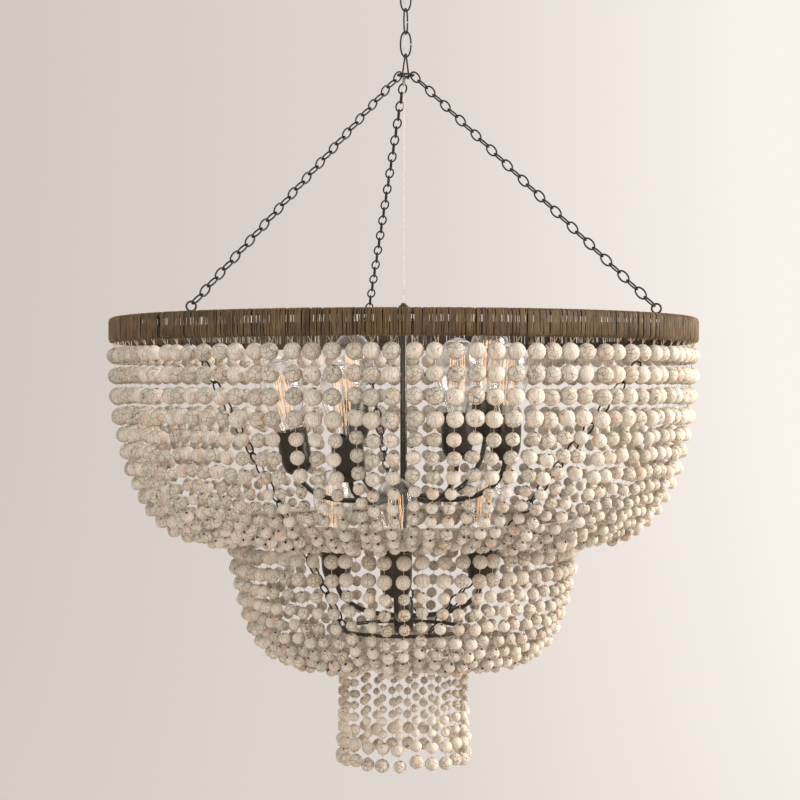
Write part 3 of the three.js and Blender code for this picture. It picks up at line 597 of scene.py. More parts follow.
@dataclass
class Shape:
    """Vertices and faces that grow part by part and become one mesh."""

    vertices: Ring = field(default_factory=list)
    faces: list[tuple[int, ...]] = field(default_factory=list)

    def add_rings(self, rings: Sequence[Ring], closed: bool = False) -> None:
        """Adds a skin through rings of points.

        Args:
            rings: Rings with the same count of points, or with a single point at a pole.
            closed: Whether the last ring is joined to the first. Otherwise both ends are capped.
        """
        starts = []
        for ring in rings:
            starts.append(len(self.vertices))
            self.vertices.extend(ring)
        pairs = list(zip(range(len(rings)), range(1, len(rings))))
        if closed:
            pairs.append((len(rings) - 1, 0))
        for a, b in pairs:
            self._add_band(starts[a], len(rings[a]), starts[b], len(rings[b]))
        for place in () if closed else (0, -1):
            count = len(rings[place])
            if count > 1:
                self.faces.append(tuple(starts[place] + i for i in range(count)))

    def _add_band(self, a: int, sides_a: int, b: int, sides_b: int) -> None:
        """Adds the faces between two rings, given by their first points and counts. One may be a pole.

        Args:
            a: The first ring's first point.
            sides_a: How many points it has.
            b: The second ring's first point.
            sides_b: How many points it has.
        """
        for i in range(max(sides_a, sides_b)):
            lower = [a + i % sides_a, a + (i + 1) % sides_a]
            upper = [b + (i + 1) % sides_b, b + i % sides_b]
            self.faces.append(tuple(dict.fromkeys(lower[: min(sides_a, 2)] + upper[: min(sides_b, 2)])))

    def add_turned(self, profile: Pairs, segments: int, place: Matrix | None = None) -> None:
        """Adds a turned body.

        Args:
            profile: (radius, height) pairs in metres. If it doesn't start and end on the axis, it is closed.
            segments: How many facets go round.
            place: Where the body's own frame lies.
        """
        turn = place or Matrix.Identity(4)
        rings = [
            [turn @ point for point in circle(radius, height, segments if radius > 0 else 1)]
            for radius, height in profile
        ]
        self.add_rings(rings, closed=profile[0][0] > 0 and profile[-1][0] > 0)

    def add_tube(self, points: Sequence[Vector], radius: float, sides: int, closed: bool = False) -> None:
        """Adds a round tube along points.

        Args:
            points: The tube's middle line.
            radius: Its radius in metres.
            sides: How many facets go round.
            closed: Whether the line ends where it starts. Otherwise each end is domed.
        """
        count = len(points)
        tangents = []
        for i in range(count):
            before = points[i - 1] if i or closed else points[i]
            after = points[(i + 1) % count] if i + 1 < count or closed else points[i]
            tangents.append((after - before).normalized())
        normal = tangents[0].orthogonal().normalized()
        normals = []
        for tangent in tangents:
            normal = (normal - tangent * normal.dot(tangent)).normalized()
            normals.append(normal)
        if closed:
            self._close_twist(tangents, normals)
        angles = [2 * math.pi * k / sides for k in range(sides)]
        rings = []
        for point, tangent, normal in zip(points, tangents, normals):
            across = tangent.cross(normal)
            rings.append([point + radius * (normal * math.cos(a) + across * math.sin(a)) for a in angles])
        if closed:
            self.add_rings(rings, closed=True)
            return
        start, end = points[0], points[-1]
        near = [start + (p - start) * 0.7 - tangents[0] * radius * 0.5 for p in rings[0]]
        far = [end + (p - end) * 0.7 + tangents[-1] * radius * 0.5 for p in rings[-1]]
        tips = [start - tangents[0] * radius * 0.72], [end + tangents[-1] * radius * 0.72]
        self.add_rings([tips[0], near, *rings, far, tips[1]])

    @staticmethod
    def _close_twist(tangents: Ring, normals: Ring) -> None:
        """Turns a closed tube's normals bit by bit, so that the last one meets the first.

        Args:
            tangents: The tube's directions.
            normals: Its normals, which are changed.
        """
        first, last = normals[0], normals[-1]
        last = (last - tangents[0] * last.dot(tangents[0])).normalized()
        miss = math.atan2(tangents[0].dot(last.cross(first)), last.dot(first))
        for i, tangent in enumerate(tangents):
            normals[i] = Matrix.Rotation(miss * i / len(tangents), 3, tangent) @ normals[i]

    def add_bar(self, start: Vector, end: Vector, width: float, height: float, bevel: float) -> None:
        """Adds a flat bar with bevelled edges between two points on one level.

        Args:
            start: The middle of one end.
            end: The middle of the other end.
            width: The bar's width, level.
            height: The bar's height, upright.
            bevel: How much the edges are cut back.
        """
        along = (end - start).normalized()
        side = along.cross(upright(1.0)).normalized()
        up = side.cross(along)
        wide, high = width / 2, height / 2
        upper = [(wide, high - bevel), (wide - bevel, high), (bevel - wide, high), (-wide, high - bevel)]
        outline = upper + [(-x, -y) for x, y in upper]
        self.add_rings([[middle + side * x + up * y for x, y in outline] for middle in (start, end)])

    def add_sleeve(self, sections: Sequence[tuple[Ring, Ring]]) -> None:
        """Adds an open sleeve with a wall, closed at its two ends between its outline and its hole.

        Args:
            sections: An outline and a hole, with as many points, for each section.
        """
        sides = len(sections[0][0])
        for outer, inner in sections:
            self.vertices.extend(outer + inner)
        for k in range(len(sections) - 1):
            for first in (2 * sides * k, 2 * sides * k + sides):
                self._add_band(first, sides, first + 2 * sides, sides)
        for k in (0, len(sections) - 1):
            self._add_band(2 * sides * k, sides, 2 * sides * k + sides, sides)

    def to_object(self, name: str, stuff: Stuff, smooth: bool = True) -> bpy.types.Object:
        """Makes the mesh and its object.

        Args:
            name: The piece's name.
            stuff: Its finish.
            smooth: Whether its faces are shaded smooth.

        Returns:
            The object, at the origin, with its faces pointing out.
        """
        mesh = bpy.data.meshes.new(name)
        mesh.from_pydata([tuple(v) for v in self.vertices], [], self.faces)
        work = bmesh.new()
        work.from_mesh(mesh)
        bmesh.ops.remove_doubles(work, verts=work.verts, dist=1e-7)
        bmesh.ops.recalc_face_normals(work, faces=work.faces)
        work.to_mesh(mesh)
        work.free()
        if smooth:
            mesh.shade_smooth()
        else:
            mesh.shade_flat()
        mesh.materials.append(stuff.material())
        return put_in_scene(name, mesh)

    def finish(
        self,
        name: str,
        stuff: Stuff,
        *nodes: str,
        body: str = "fixture",
        axis: Vector = AXIS,
        smooth: bool = True,
    ) -> None:
        """Makes the piece and settles it, with what to_object and settle ask for."""
        settle(self.to_object(name, stuff, smooth), stuff, *nodes, body=body, axis=axis)


def put_in_scene(name: str, mesh: bpy.types.Mesh) -> bpy.types.Object:
    """Makes an object of a mesh at the origin and links it to the scene.

    Args:
        name: The object's name.
        mesh: Its mesh.

    Returns:
        The object.
    """
    thing = bpy.data.objects.new(name, mesh)
    bpy.context.scene.collection.objects.link(thing)
    return thing


def smooth_line(corners: Sequence[Vector], steps: int, closed: bool = False) -> Ring:
    """A smooth line through corners.

    Args:
        corners: The points that the line passes.
        steps: How many steps lie between two corners.
        closed: Whether it returns to its start.

    Returns:
        The line's points.
    """
    count = len(corners)
    line = []
    for i in range(count if closed else count - 1):
        b, c = corners[i], corners[(i + 1) % count]
        a = corners[(i - 1) % count] if i or closed else b + (b - c)
        d = corners[(i + 2) % count] if i + 2 < count or closed else c + (c - b)
        for t in (k / steps for k in range(steps)):
            bend = (2 * a - 5 * b + 4 * c - d) * t * t + (3 * b - a - 3 * c + d) * t**3
            line.append(0.5 * (2 * b + (c - a) * t + bend))
    if not closed:
        line.append(corners[-1].copy())
    return line


def smooth_profile(profile: Pairs, steps: int) -> list[tuple[float, float]]:
    """A smooth profile through (radius, height) pairs, never inside the axis."""
    line = smooth_line([Vector((r, 0, z)) for r, z in profile], steps)
    return [(max(p.x, 0.0), p.z) for p in line]


# Geometry Nodes


class Recipe:
    """A Geometry Nodes tree with named inputs, which turns a carrier object into a finished mesh."""

    def __init__(self, name: str, **inputs: str) -> None:
        """Makes the tree.

        Args:
            name: The tree's name.
            inputs: Input names besides Material, each with its kind of socket.
        """
        self.tree = bpy.data.node_groups.new(name, "GeometryNodeTree")
        self.node = partial(add_node, self.tree)
        for label, kind in {"Geometry": "Geometry", **inputs, "Material": "Material"}.items():
            self.tree.interface.new_socket(label, in_out="INPUT", socket_type=f"NodeSocket{kind}")
        self.tree.interface.new_socket("Geometry", in_out="OUTPUT", socket_type="NodeSocketGeometry")
        self.given = self.node("NodeGroupInput")

    def sweep(self, line: Socket, sides: Socket | int, radius: Socket, capped: bool = False) -> Socket:
        """A round tube along a line.

        Args:
            line: The line.
            sides: How many facets go round.
            radius: The tube's radius.
            capped: Whether its ends are closed.

        Returns:
            The tube.
        """
        ring = {"Resolution": sides, "Radius": radius}
        section = self.node("GeometryNodeCurvePrimitiveCircle", ring)[0]
        tube = {"Curve": line, "Profile Curve": section, "Fill Caps": capped}
        return self.node("GeometryNodeCurveToMesh", tube)[0]

    def stand(self, thing: Socket, scale: object = (1.0, 1.0, 1.0), lean: Socket | None = None) -> Socket:
        """Puts a copy of a thing on each point.

        Args:
            thing: What is copied.
            scale: The copies' scale.
            lean: Each copy's own lean, besides the turn that its point carries.

        Returns:
            The copies.
        """
        turn = self.node("GeometryNodeInputNamedAttribute", {"Name": "turn"}, data_type="FLOAT_VECTOR")[0]
        spin = self.node("FunctionNodeEulerToRotation", {0: turn})[0]
        if lean:
            own = self.node("FunctionNodeEulerToRotation", {0: lean})[0]
            spin = self.node("FunctionNodeRotateRotation", {0: spin, 1: own}, rotation_space="LOCAL")[0]
        copies = {"Points": self.given["Geometry"], "Instance": thing, "Rotation": spin, "Scale": scale}
        return self.node("GeometryNodeInstanceOnPoints", copies)[0]

    def toned(self, copies: Socket, seed: int) -> Socket:
        """Gives each copy its own "tone" from 0 to 1.

        Args:
            copies: The copies.
            seed: The seed of their tones.

        Returns:
            The copies with their tones.
        """
        tone = self.node("FunctionNodeRandomValue", {2: 0.0, 3: 1.0, "Seed": seed}, data_type="FLOAT")[1]
        stored = {"Geometry": copies, "Name": "tone", "Value": tone}
        return self.node("GeometryNodeStoreNamedAttribute", stored, data_type="FLOAT", domain="INSTANCE")[0]

    def end(self, geometry: Socket) -> "Recipe":
        """Ends the tree in Realize Instances and Set Material.

        Args:
            geometry: The tree's last geometry.

        Returns:
            The recipe itself.
        """
        real = self.node("GeometryNodeRealizeInstances", {"Geometry": geometry})[0]
        smooth = self.node("GeometryNodeSetShadeSmooth", {"Geometry": real})[0]
        dressed = {"Geometry": smooth, "Material": self.given["Material"]}
        made = self.node("GeometryNodeSetMaterial", dressed)[0]
        self.node("NodeGroupOutput", {"Geometry": made})
        return self

    def run(self, carrier: bpy.types.Mesh, stuff: Stuff, **values: object) -> bpy.types.Object:
        """Runs the tree on a carrier and keeps the result.

        Args:
            carrier: The mesh whose points or edges the tree follows. Its name is the finished piece's.
            stuff: The piece's finish.
            values: The other inputs with their values.

        Returns:
            The finished piece, a plain mesh at the origin.
        """
        name = carrier.name
        values["Material"] = stuff.material()
        holder = put_in_scene(name + "_carrier", carrier)
        modifier = holder.modifiers.new("recipe", "NODES")
        modifier.node_group = self.tree
        for item in self.tree.interface.items_tree:
            if item.item_type == "SOCKET" and item.in_out == "INPUT" and item.name in values:
                modifier[item.identifier] = values[item.name]
        bpy.context.view_layer.update()
        ready = holder.evaluated_get(bpy.context.evaluated_depsgraph_get())
        mesh = bpy.data.meshes.new_from_object(ready)
        mesh.name = name
        holder.modifiers.remove(modifier)
        bpy.data.objects.remove(holder)
        return put_in_scene(name, mesh)


def string_recipe() -> Recipe:
    """Beads on points: each point has its own "size" and "turn", and each bead gets a random "tone".

    Jitter is the share by which a bead may be larger or smaller than its size says.

    Returns:
        The recipe.
    """
    recipe = Recipe("string_beads", Bead="Object", Jitter="Float", Seed="Int")
    given, node = recipe.given, recipe.node
    bead = node("GeometryNodeObjectInfo", {"Object": given["Bead"], "As Instance": True})["Geometry"]
    size = node("GeometryNodeInputNamedAttribute", {"Name": "size"}, data_type="FLOAT_VECTOR")[0]
    least = node("ShaderNodeMath", {0: 1.0, 1: given["Jitter"]}, operation="SUBTRACT")[0]
    most = node("ShaderNodeMath", {0: 1.0, 1: given["Jitter"]})[0]
    ends = {2: least, 3: most, "Seed": given["Seed"]}
    jitter = node("FunctionNodeRandomValue", ends, data_type="FLOAT")[1]
    scale = node("ShaderNodeVectorMath", {0: size, "Scale": jitter}, operation="SCALE")[0]
    return recipe.end(recipe.toned(recipe.stand(bead, scale), 3))


def thread_recipe() -> Recipe:
    """A round thread along every edge line of the carrier.

    Returns:
        The recipe.
    """
    recipe = Recipe("run_threads", Thickness="Float", Sides="Int")
    line = recipe.node("GeometryNodeMeshToCurve", {"Mesh": recipe.given["Geometry"]})[0]
    halved = {0: recipe.given["Thickness"], 1: 0.5}
    radius = recipe.node("ShaderNodeMath", halved, operation="MULTIPLY")[0]
    return recipe.end(recipe.sweep(line, recipe.given["Sides"], radius, True))


def link_recipe() -> Recipe:
    """Wire links on points: a round wire bent to an oval, turned as each point says.

    Returns:
        The recipe.
    """
    recipe = Recipe("bend_links", Length="Float", Width="Float", Wire="Float")
    given, node = recipe.given, recipe.node
    halves = []
    for size in ("Width", "Length"):
        axis = node("ShaderNodeMath", {0: given[size], 1: given["Wire"]}, operation="SUBTRACT")[0]
        halves.append(node("ShaderNodeMath", {0: axis, 1: 0.5}, operation="MULTIPLY")[0])
    stretch = node("ShaderNodeCombineXYZ", {"X": halves[0], "Y": halves[1], "Z": 1.0})[0]
    ring = node("GeometryNodeCurvePrimitiveCircle", {"Resolution": 24, "Radius": 1.0})[0]
    oval = node("GeometryNodeTransform", {"Geometry": ring, "Scale": stretch})[0]
    radius = node("ShaderNodeMath", {0: given["Wire"], 1: 0.5}, operation="MULTIPLY")[0]
    return recipe.end(recipe.stand(recipe.sweep(oval, 7, radius)))


def winding_recipe() -> Recipe:
    """Flat strands wound round a section: one loop on each point, tilted and lifted at random.

    Returns:
        The recipe.
    """
    sizes = ("Height", "Thickness", "Rounding", "Strand", "Lift", "Tilt", "Slant")
    recipe = Recipe("wind_raffia", **dict.fromkeys(sizes, "Float"), Seed="Int")
    given, node = recipe.given, recipe.node
    box = {"Width": given["Thickness"], "Height": given["Height"]}
    outline = node("GeometryNodeCurvePrimitiveQuadrilateral", box)[0]
    rounded = {"Curve": outline, "Count": 2, "Radius": given["Rounding"]}
    loop = node("GeometryNodeFilletCurve", rounded, mode="POLY")[0]
    flat = node("GeometryNodeCurvePrimitiveCircle", {"Resolution": 4, "Radius": 0.5})[0]
    sized = node("ShaderNodeCombineXYZ", {"X": given["Lift"], "Y": given["Strand"], "Z": 1.0})[0]
    section = node("GeometryNodeTransform", {"Geometry": flat, "Scale": sized})[0]
    strand = node("GeometryNodeCurveToMesh", {"Curve": loop, "Profile Curve": section})[0]
    leans = []
    for most, seed in (("Tilt", 2), ("Slant", 7)):
        least = node("ShaderNodeMath", {0: given[most], 1: -1.0}, operation="MULTIPLY")[0]
        number = node("ShaderNodeMath", {0: given["Seed"], 1: seed})[0]
        ends = {2: least, 3: given[most], "Seed": number}
        leans.append(node("FunctionNodeRandomValue", ends, data_type="FLOAT")[1])
    lean = node("ShaderNodeCombineXYZ", {"X": leans[0], "Y": leans[1]})[0]
    swell = node("FunctionNodeRandomValue", {2: 0.975, 3: 1.0, "Seed": 11}, data_type="FLOAT")[1]
    return recipe.end(recipe.toned(recipe.stand(strand, swell, lean), 5))


def carrier_of_points(
    name: str, points: Sequence[Vector], turns: Sequence[Euler], sizes: Sequence[Vector] = ()
) -> bpy.types.Mesh:
    """A mesh of loose points that carries a "turn" and a "size" for each.

    Args:
        name: The mesh's name.
        points: Where the points lie.
        turns: How what stands on each is turned.
        sizes: How large it is each way. It may be left out.

    Returns:
        The mesh.
    """
    mesh = bpy.data.meshes.new(name)
    mesh.from_pydata([tuple(p) for p in points], [], [])
    for label, vectors in (("turn", turns), ("size", sizes)):
        if vectors:
            attribute = mesh.attributes.new(label, "FLOAT_VECTOR", "POINT")
            attribute.data.foreach_set("vector", [number for vector in vectors for number in vector])
    return mesh


def carrier_of_lines(name: str, lines: Iterable[Sequence[Vector]]) -> bpy.types.Mesh:
    """A mesh of open edge lines.

    Args:
        name: The mesh's name.
        lines: Lines of points.

    Returns:
        The mesh.
    """
    points: Ring = []
    edges = []
    for line in lines:
        first = len(points)
        points.extend(line)
        edges.extend((first + i, first + i + 1) for i in range(len(line) - 1))
    mesh = bpy.data.meshes.new(name)
    mesh.from_pydata([tuple(p) for p in points], edges, [])
    return mesh


def turn_from(x_axis: Vector, y_axis: Vector) -> Euler:
    """The turn that lays a thing's X and Y along two directions at right angles."""
    return Matrix((x_axis, y_axis, x_axis.cross(y_axis))).transposed().to_euler()


# Camera, lights, floor and backdrop


@dataclass
class Studio:
    """The camera of the photograph, soft lamps, and a pale floor that sweeps up behind."""

    image: float = 800.0
    sensor: float = 36.0
    focal_pixels: float = 1871.0
    horizon_row: float = 391.8
    axis_column: float = 403.6
    distance: float = 2.93
    level: float = -0.63
    floor: float = -2.3
    wall: float = 7.5
    half_width: float = 30.0
    front: float = -30.0
    top: float = 12.0
    sweep: float = 3.5
    sweep_steps: int = 16
    surround: str = "#ece4de"
    surround_light: float = 0.48
    surround_seen: float = 0.9
    lamp_aim: float = -0.75
    clip: float = 100.0

    def build(self) -> None:
        """Makes everything round the object."""
        self._camera()
        self._backdrop()
        self._lamps()
        self._world()

    def _camera(self) -> None:
        """A level camera in front of the object, pitched by the little that the horizon row asks for."""
        data = bpy.data.cameras.new("camera")
        data.sensor_width = self.sensor
        data.lens = self.sensor * self.focal_pixels / self.image
        data.dof.use_dof = False
        data.clip_end = self.clip
        camera = bpy.data.objects.new("camera", data)
        aside = (self.image / 2 - self.axis_column) * self.distance / self.focal_pixels
        pitch = math.atan((self.image / 2 - self.horizon_row) / self.focal_pixels)
        camera.location = AXIS + Vector((aside, -self.distance, self.level))
        camera.rotation_euler = (math.pi / 2 - pitch, 0.0, 0.0)
        bpy.context.scene.collection.objects.link(camera)
        bpy.context.scene.camera = camera
        bpy.context.scene.view_settings.view_transform = "Standard"

    def _backdrop(self) -> None:
        """A floor and a wall in one sheet with a round sweep between them."""
        line = [(self.front, self.floor)]
        for i in range(self.sweep_steps + 1):
            angle = math.pi / 2 * i / self.sweep_steps
            far = self.wall - self.sweep + self.sweep * math.sin(angle)
            line.append((far, self.floor + self.sweep * (1 - math.cos(angle))))
        line.append((self.wall, self.top))
        points = [(x, y, z) for y, z in line for x in (-self.half_width, self.half_width)]
        faces = [(2 * i, 2 * i + 1, 2 * i + 3, 2 * i + 2) for i in range(len(line) - 1)]
        mesh = bpy.data.meshes.new("backdrop")
        mesh.from_pydata(points, [], faces)
        mesh.shade_smooth()
        mesh.materials.append(Stuff.PAPER.material())
        put_in_scene("backdrop", mesh)

    def _lamps(self) -> None:
        """A large soft key from the right, a little in front, and a broad weaker fill from the left."""
        for name, place, size, power, colour in (
            ("key", Vector((3.2, -0.4, 0.4)), 2.0, 162.0, "#fff6ee"),
            ("fill", Vector((-1.5, -3.1, 0.1)), 2.6, 50.0, "#f6f2ee"),
        ):
            data = bpy.data.lights.new(name, "AREA")
            data.shape = "DISK"
            data.size = size
            data.energy = power
            data.color = linear(colour)[:3]
            lamp = bpy.data.objects.new(name, data)
            lamp.location = place
            lamp.visible_camera = False
            aim = upright(self.lamp_aim) - place
            lamp.rotation_euler = aim.to_track_quat("-Z", "Y").to_euler()
            bpy.context.scene.collection.objects.link(lamp)

    def _world(self) -> None:
        """An even pale surround: it lights softly, and is seen as pale as the paper."""
        world = bpy.data.worlds.new("surround")
        world.use_nodes = True
        add = partial(add_node, world.node_tree)
        strength = add("ShaderNodeMapRange", {0: seen(add), 3: self.surround_light, 4: self.surround_seen})[0]
        sky = world.node_tree.nodes["Background"]
        add(sky, {"Color": linear(self.surround), "Strength": strength})
        bpy.context.scene.world = world


# Suspension


@dataclass(frozen=True)
class Eye:
    """An eye on the main ring for a sling: where it stands and which way it faces."""

    azimuth: float
    faces: float
    outer: float = 16 * MM
    wire: float = 2.6 * MM
    sunk_share: float = 0.16

    @property
    def radius(self) -> float:
        """To the middle of its wire."""
        return (self.outer - self.wire) / 2

    @property
    def middle(self) -> Vector:
        """Its middle, counted from the main ring's axis."""
        return polar(MAIN_RADIUS, self.azimuth, MAIN_TOP + self.outer * (0.5 - self.sunk_share))


@dataclass
class Suspension:
    """Three large links, the tapered hanger, the gathering ring on its bar and the clear lead beside them."""

    length: float = 42 * MM
    width: float = 19 * MM
    wire: float = 2.8 * MM
    inset: float = 0.06 * MM
    joint_gap: float = 2.4 * MM
    squareness: float = 0.9
    link_steps: int = 60
    play: float = 0.8 * MM
    turns: tuple[float, ...] = (0.0, 70.0, 0.0)
    hanger_play: float = 1.6 * MM
    hanger_azimuth: float = 73.75
    hanger_height: float = 36 * MM
    hanger_top: float = 9 * MM
    hanger_foot: float = 33.2 * MM
    ring_outer: float = 28 * MM
    ring_wire: float = 3 * MM
    lead_offset: float = 4.7 * MM
    lead_azimuth: float = 127.0
    lead_diameter: float = 4 * MM
    lead_step: float = 12 * MM
    skin_share: float = 0.49
    core_share: float = 0.12
    core_inset: float = 0.04
    flex_turn: float = 37.0

    @property
    def axis_length(self) -> float:
        """Between the middles of a link's two crowns."""
        return self.length - self.wire

    @property
    def step(self) -> float:
        """From one link's top down to the next link's top."""
        return self.axis_length - self.wire - self.play

    @property
    def hanger_top_level(self) -> float:
        """The middle of the hanger's crown."""
        last_foot = self.wire / 2 - (len(self.turns) - 1) * self.step - self.axis_length
        return last_foot + self.wire + self.hanger_play

    @property
    def ring_level(self) -> float:
        """The middle of the gathering ring."""
        return self.hanger_top_level - self.hanger_height + (self.wire + self.ring_wire) / 2 + CLEARANCE

    @property
    def ring_radius(self) -> float:
        """From the gathering ring's middle to the middle of its wire."""
        return (self.ring_outer - self.ring_wire) / 2

    def build(self) -> None:
        """Makes every piece of the suspension."""
        for i, turn in enumerate(self.turns):
            self._link(i, turn)
        self._hanger()
        ring = Shape()
        ring.add_tube(circle(self.ring_radius, self.ring_level, 48), self.ring_wire / 2, 14, True)
        ring.finish("ring_for_slings", Stuff.CHAIN_IRON, "gathering_ring", axis=HOOK)
        for body in ("link_1", "link_2", "link_3", "hanger"):
            self._lead(f"lead_in_{body}", body)
        self._lead("lead_to_knob", "fixture")

    def _link(self, index: int, turn: float) -> None:
        """One large link with its open joint.

        Args:
            index: Which link, from the top.
            turn: The way that it faces.
        """
        top = self.wire / 2 - index * self.step
        half_wide = (self.width - self.wire) / 2
        first = math.asin(self.joint_gap / self.axis_length)
        line = []
        for i in range(self.link_steps + 1):
            angle = first + (2 * math.pi - 2 * first) * i / self.link_steps
            shares = (math.cos(angle), math.sin(angle))
            across, up = (math.copysign(abs(s) ** self.squareness, s) for s in shares)
            line.append(Vector((half_wide * across, 0, self.axis_length / 2 * up)))
        place = standing(top - self.axis_length / 2, turn)
        link = Shape()
        link.add_tube([place @ p for p in line], self.wire / 2 - self.inset, 14)
        name, node, body = (f"{kind}link_{index + 1}" for kind in ("large_", "suspension_", ""))
        link.finish(name, Stuff.CHAIN_IRON, node, body=body, axis=HOOK)

    def _hanger(self) -> None:
        """The tapered loop: narrow in the last link, wide at the bar."""
        top, foot, high = self.hanger_top / 2, self.hanger_foot / 2, self.hanger_height
        shoulders = ((top * 0.8, 0.05), (top * 1.15, 0.2), (foot * 0.97, 0.84), (foot * 0.95, 0.95))
        right = [Vector((x, 0, -share * high)) for x, share in (*shoulders, (foot * 0.82, 1.0))]
        left = [Vector((-p.x, 0, p.z)) for p in reversed(right)]
        line = smooth_line([upright(0.0), *right, *left], 5, closed=True)
        place = standing(self.hanger_top_level, self.hanger_azimuth)
        loop = Shape()
        loop.add_tube([place @ p for p in line], self.wire / 2 - self.inset, 12, True)
        loop.finish("tapered_hanger", Stuff.CHAIN_IRON, "hanger_loop", body="hanger", axis=HOOK)

    def _lead(self, node: str, body: str) -> None:
        """A stretch of the clear lead beside the chain. The last stretch slants to the middle of the knob.

        Args:
            node: The CAD node that says how high it reaches.
            body: The body that it rides on.
        """
        low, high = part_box(node)
        top = polar(self.lead_offset, self.lead_azimuth, high[2])
        foot = polar(self.lead_offset, self.lead_azimuth, low[2])
        if node == "lead_to_knob":
            foot = AXIS + upright(low[2])
        radius = self.skin_share * self.lead_diameter
        count = max(2, int((top - foot).length / self.lead_step))
        line = [foot.lerp(top, i / count) for i in range(count + 1)]
        skin = Shape()
        skin.add_rings([[place + p for p in self._flex_outline(radius)] for place in line])
        skin.finish(node + "_skin", Stuff.LEAD, node, body=body, axis=HOOK)
        cores = Shape()
        inner = [foot.lerp(top, self.core_inset), *line[1:-1], foot.lerp(top, 1 - self.core_inset)]
        for side in (-0.5, 0.5):
            across = polar(radius * side, self.flex_turn)
            cores.add_tube([place + across for place in inner], radius * self.core_share, 6)
        cores.finish(node + "_strands", Stuff.COPPER, body=body, axis=HOOK)

    def _flex_outline(self, radius: float) -> Ring:
        """The outline of a twin flex: two round cores in one flat skin with a groove between them.

        Args:
            radius: Half of its width.

        Returns:
            Its points.
        """
        outline = []
        for azimuth in evenly(20, self.flex_turn):
            along = abs(math.cos(math.radians(azimuth - self.flex_turn)))
            outline.append(polar(radius * (0.55 + 0.45 * along**1.5), azimuth))
        return outline


@dataclass
class Chains:
    """Chains of small wire links: three taut slings, and three inner ones that run down to the lower hoop."""

    suspension: Suspension
    eyes: tuple[Eye, ...]
    length: float = 23.8 * MM
    width: float = 15 * MM
    wire: float = 2.6 * MM
    inner_ends: tuple[float, ...] = (203.0, 293.0, 80.0)
    lower_radius: float = 97 * MM
    recipe: Recipe = field(default_factory=link_recipe)

    def build(self) -> None:
        """Makes the slings from the gathering ring to the eyes, and the inner chains under them."""
        for i, eye in enumerate(self.eyes, 1):
            self._chain(f"sling_links_{i}", *self._sling_ends(eye), f"sling_chain_{i}")
        for i, (eye, end_azimuth) in enumerate(zip(self.eyes, self.inner_ends), 1):
            node = f"inner_chain_{i}"
            low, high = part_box(node)
            top = AXIS + polar(MAIN_RADIUS, eye.azimuth, high[2])
            foot = AXIS + polar(self.lower_radius, end_azimuth, low[2])
            self._chain(f"inner_links_{i}", top, foot, node)

    def _sling_ends(self, eye: Eye) -> tuple[Vector, Vector]:
        """The outer ends of a sling, which runs straight from the gathering ring to its eye.

        Args:
            eye: The eye that holds its lower end.

        Returns:
            The upper end over the gathering ring's wire and the lower end under the eye's wire.
        """
        middle = AXIS + eye.middle
        outward = Vector((middle.x, middle.y, 0.0)).normalized()
        on_ring = outward * self.suspension.ring_radius + upright(self.suspension.ring_level)
        facing = polar(1.0, eye.faces)
        towards = on_ring - middle
        towards = (towards - facing * towards.dot(facing)).normalized()
        on_eye = middle + towards * eye.radius
        along = (on_eye - on_ring).normalized()
        beyond_ring = self.suspension.ring_wire / 2 + CLEARANCE + self.wire
        beyond_eye = eye.wire / 2 + CLEARANCE + self.wire
        return on_ring - along * beyond_ring, on_eye + along * beyond_eye

    def _chain(self, name: str, start: Vector, end: Vector, node: str) -> None:
        """A chain between two points, each link turned a quarter from the last.

        Args:
            name: The piece's name.
            start: The outer end of the first link.
            end: The outer end of the last link.
            node: The CAD node it stands for.
        """
        along = (end - start).normalized()
        side = along.cross(upright(1.0)).normalized()
        bearing = 2 * self.wire
        span = (end - start).length
        count = 2 * round((span - bearing) / (self.length - bearing) / 2)
        length = (span + (count - 1) * bearing) / count
        points = [start + along * (length / 2 + i * (length - bearing)) for i in range(count)]
        turns = [turn_from(side if i % 2 else side.cross(along), along) for i in range(count)]
        carrier = carrier_of_points(name, points, turns)
        piece = self.recipe.run(carrier, Stuff.CHAIN_IRON, Length=length, Width=self.width, Wire=self.wire)
        settle(piece, Stuff.CHAIN_IRON, node, axis=HOOK)


# Main ring


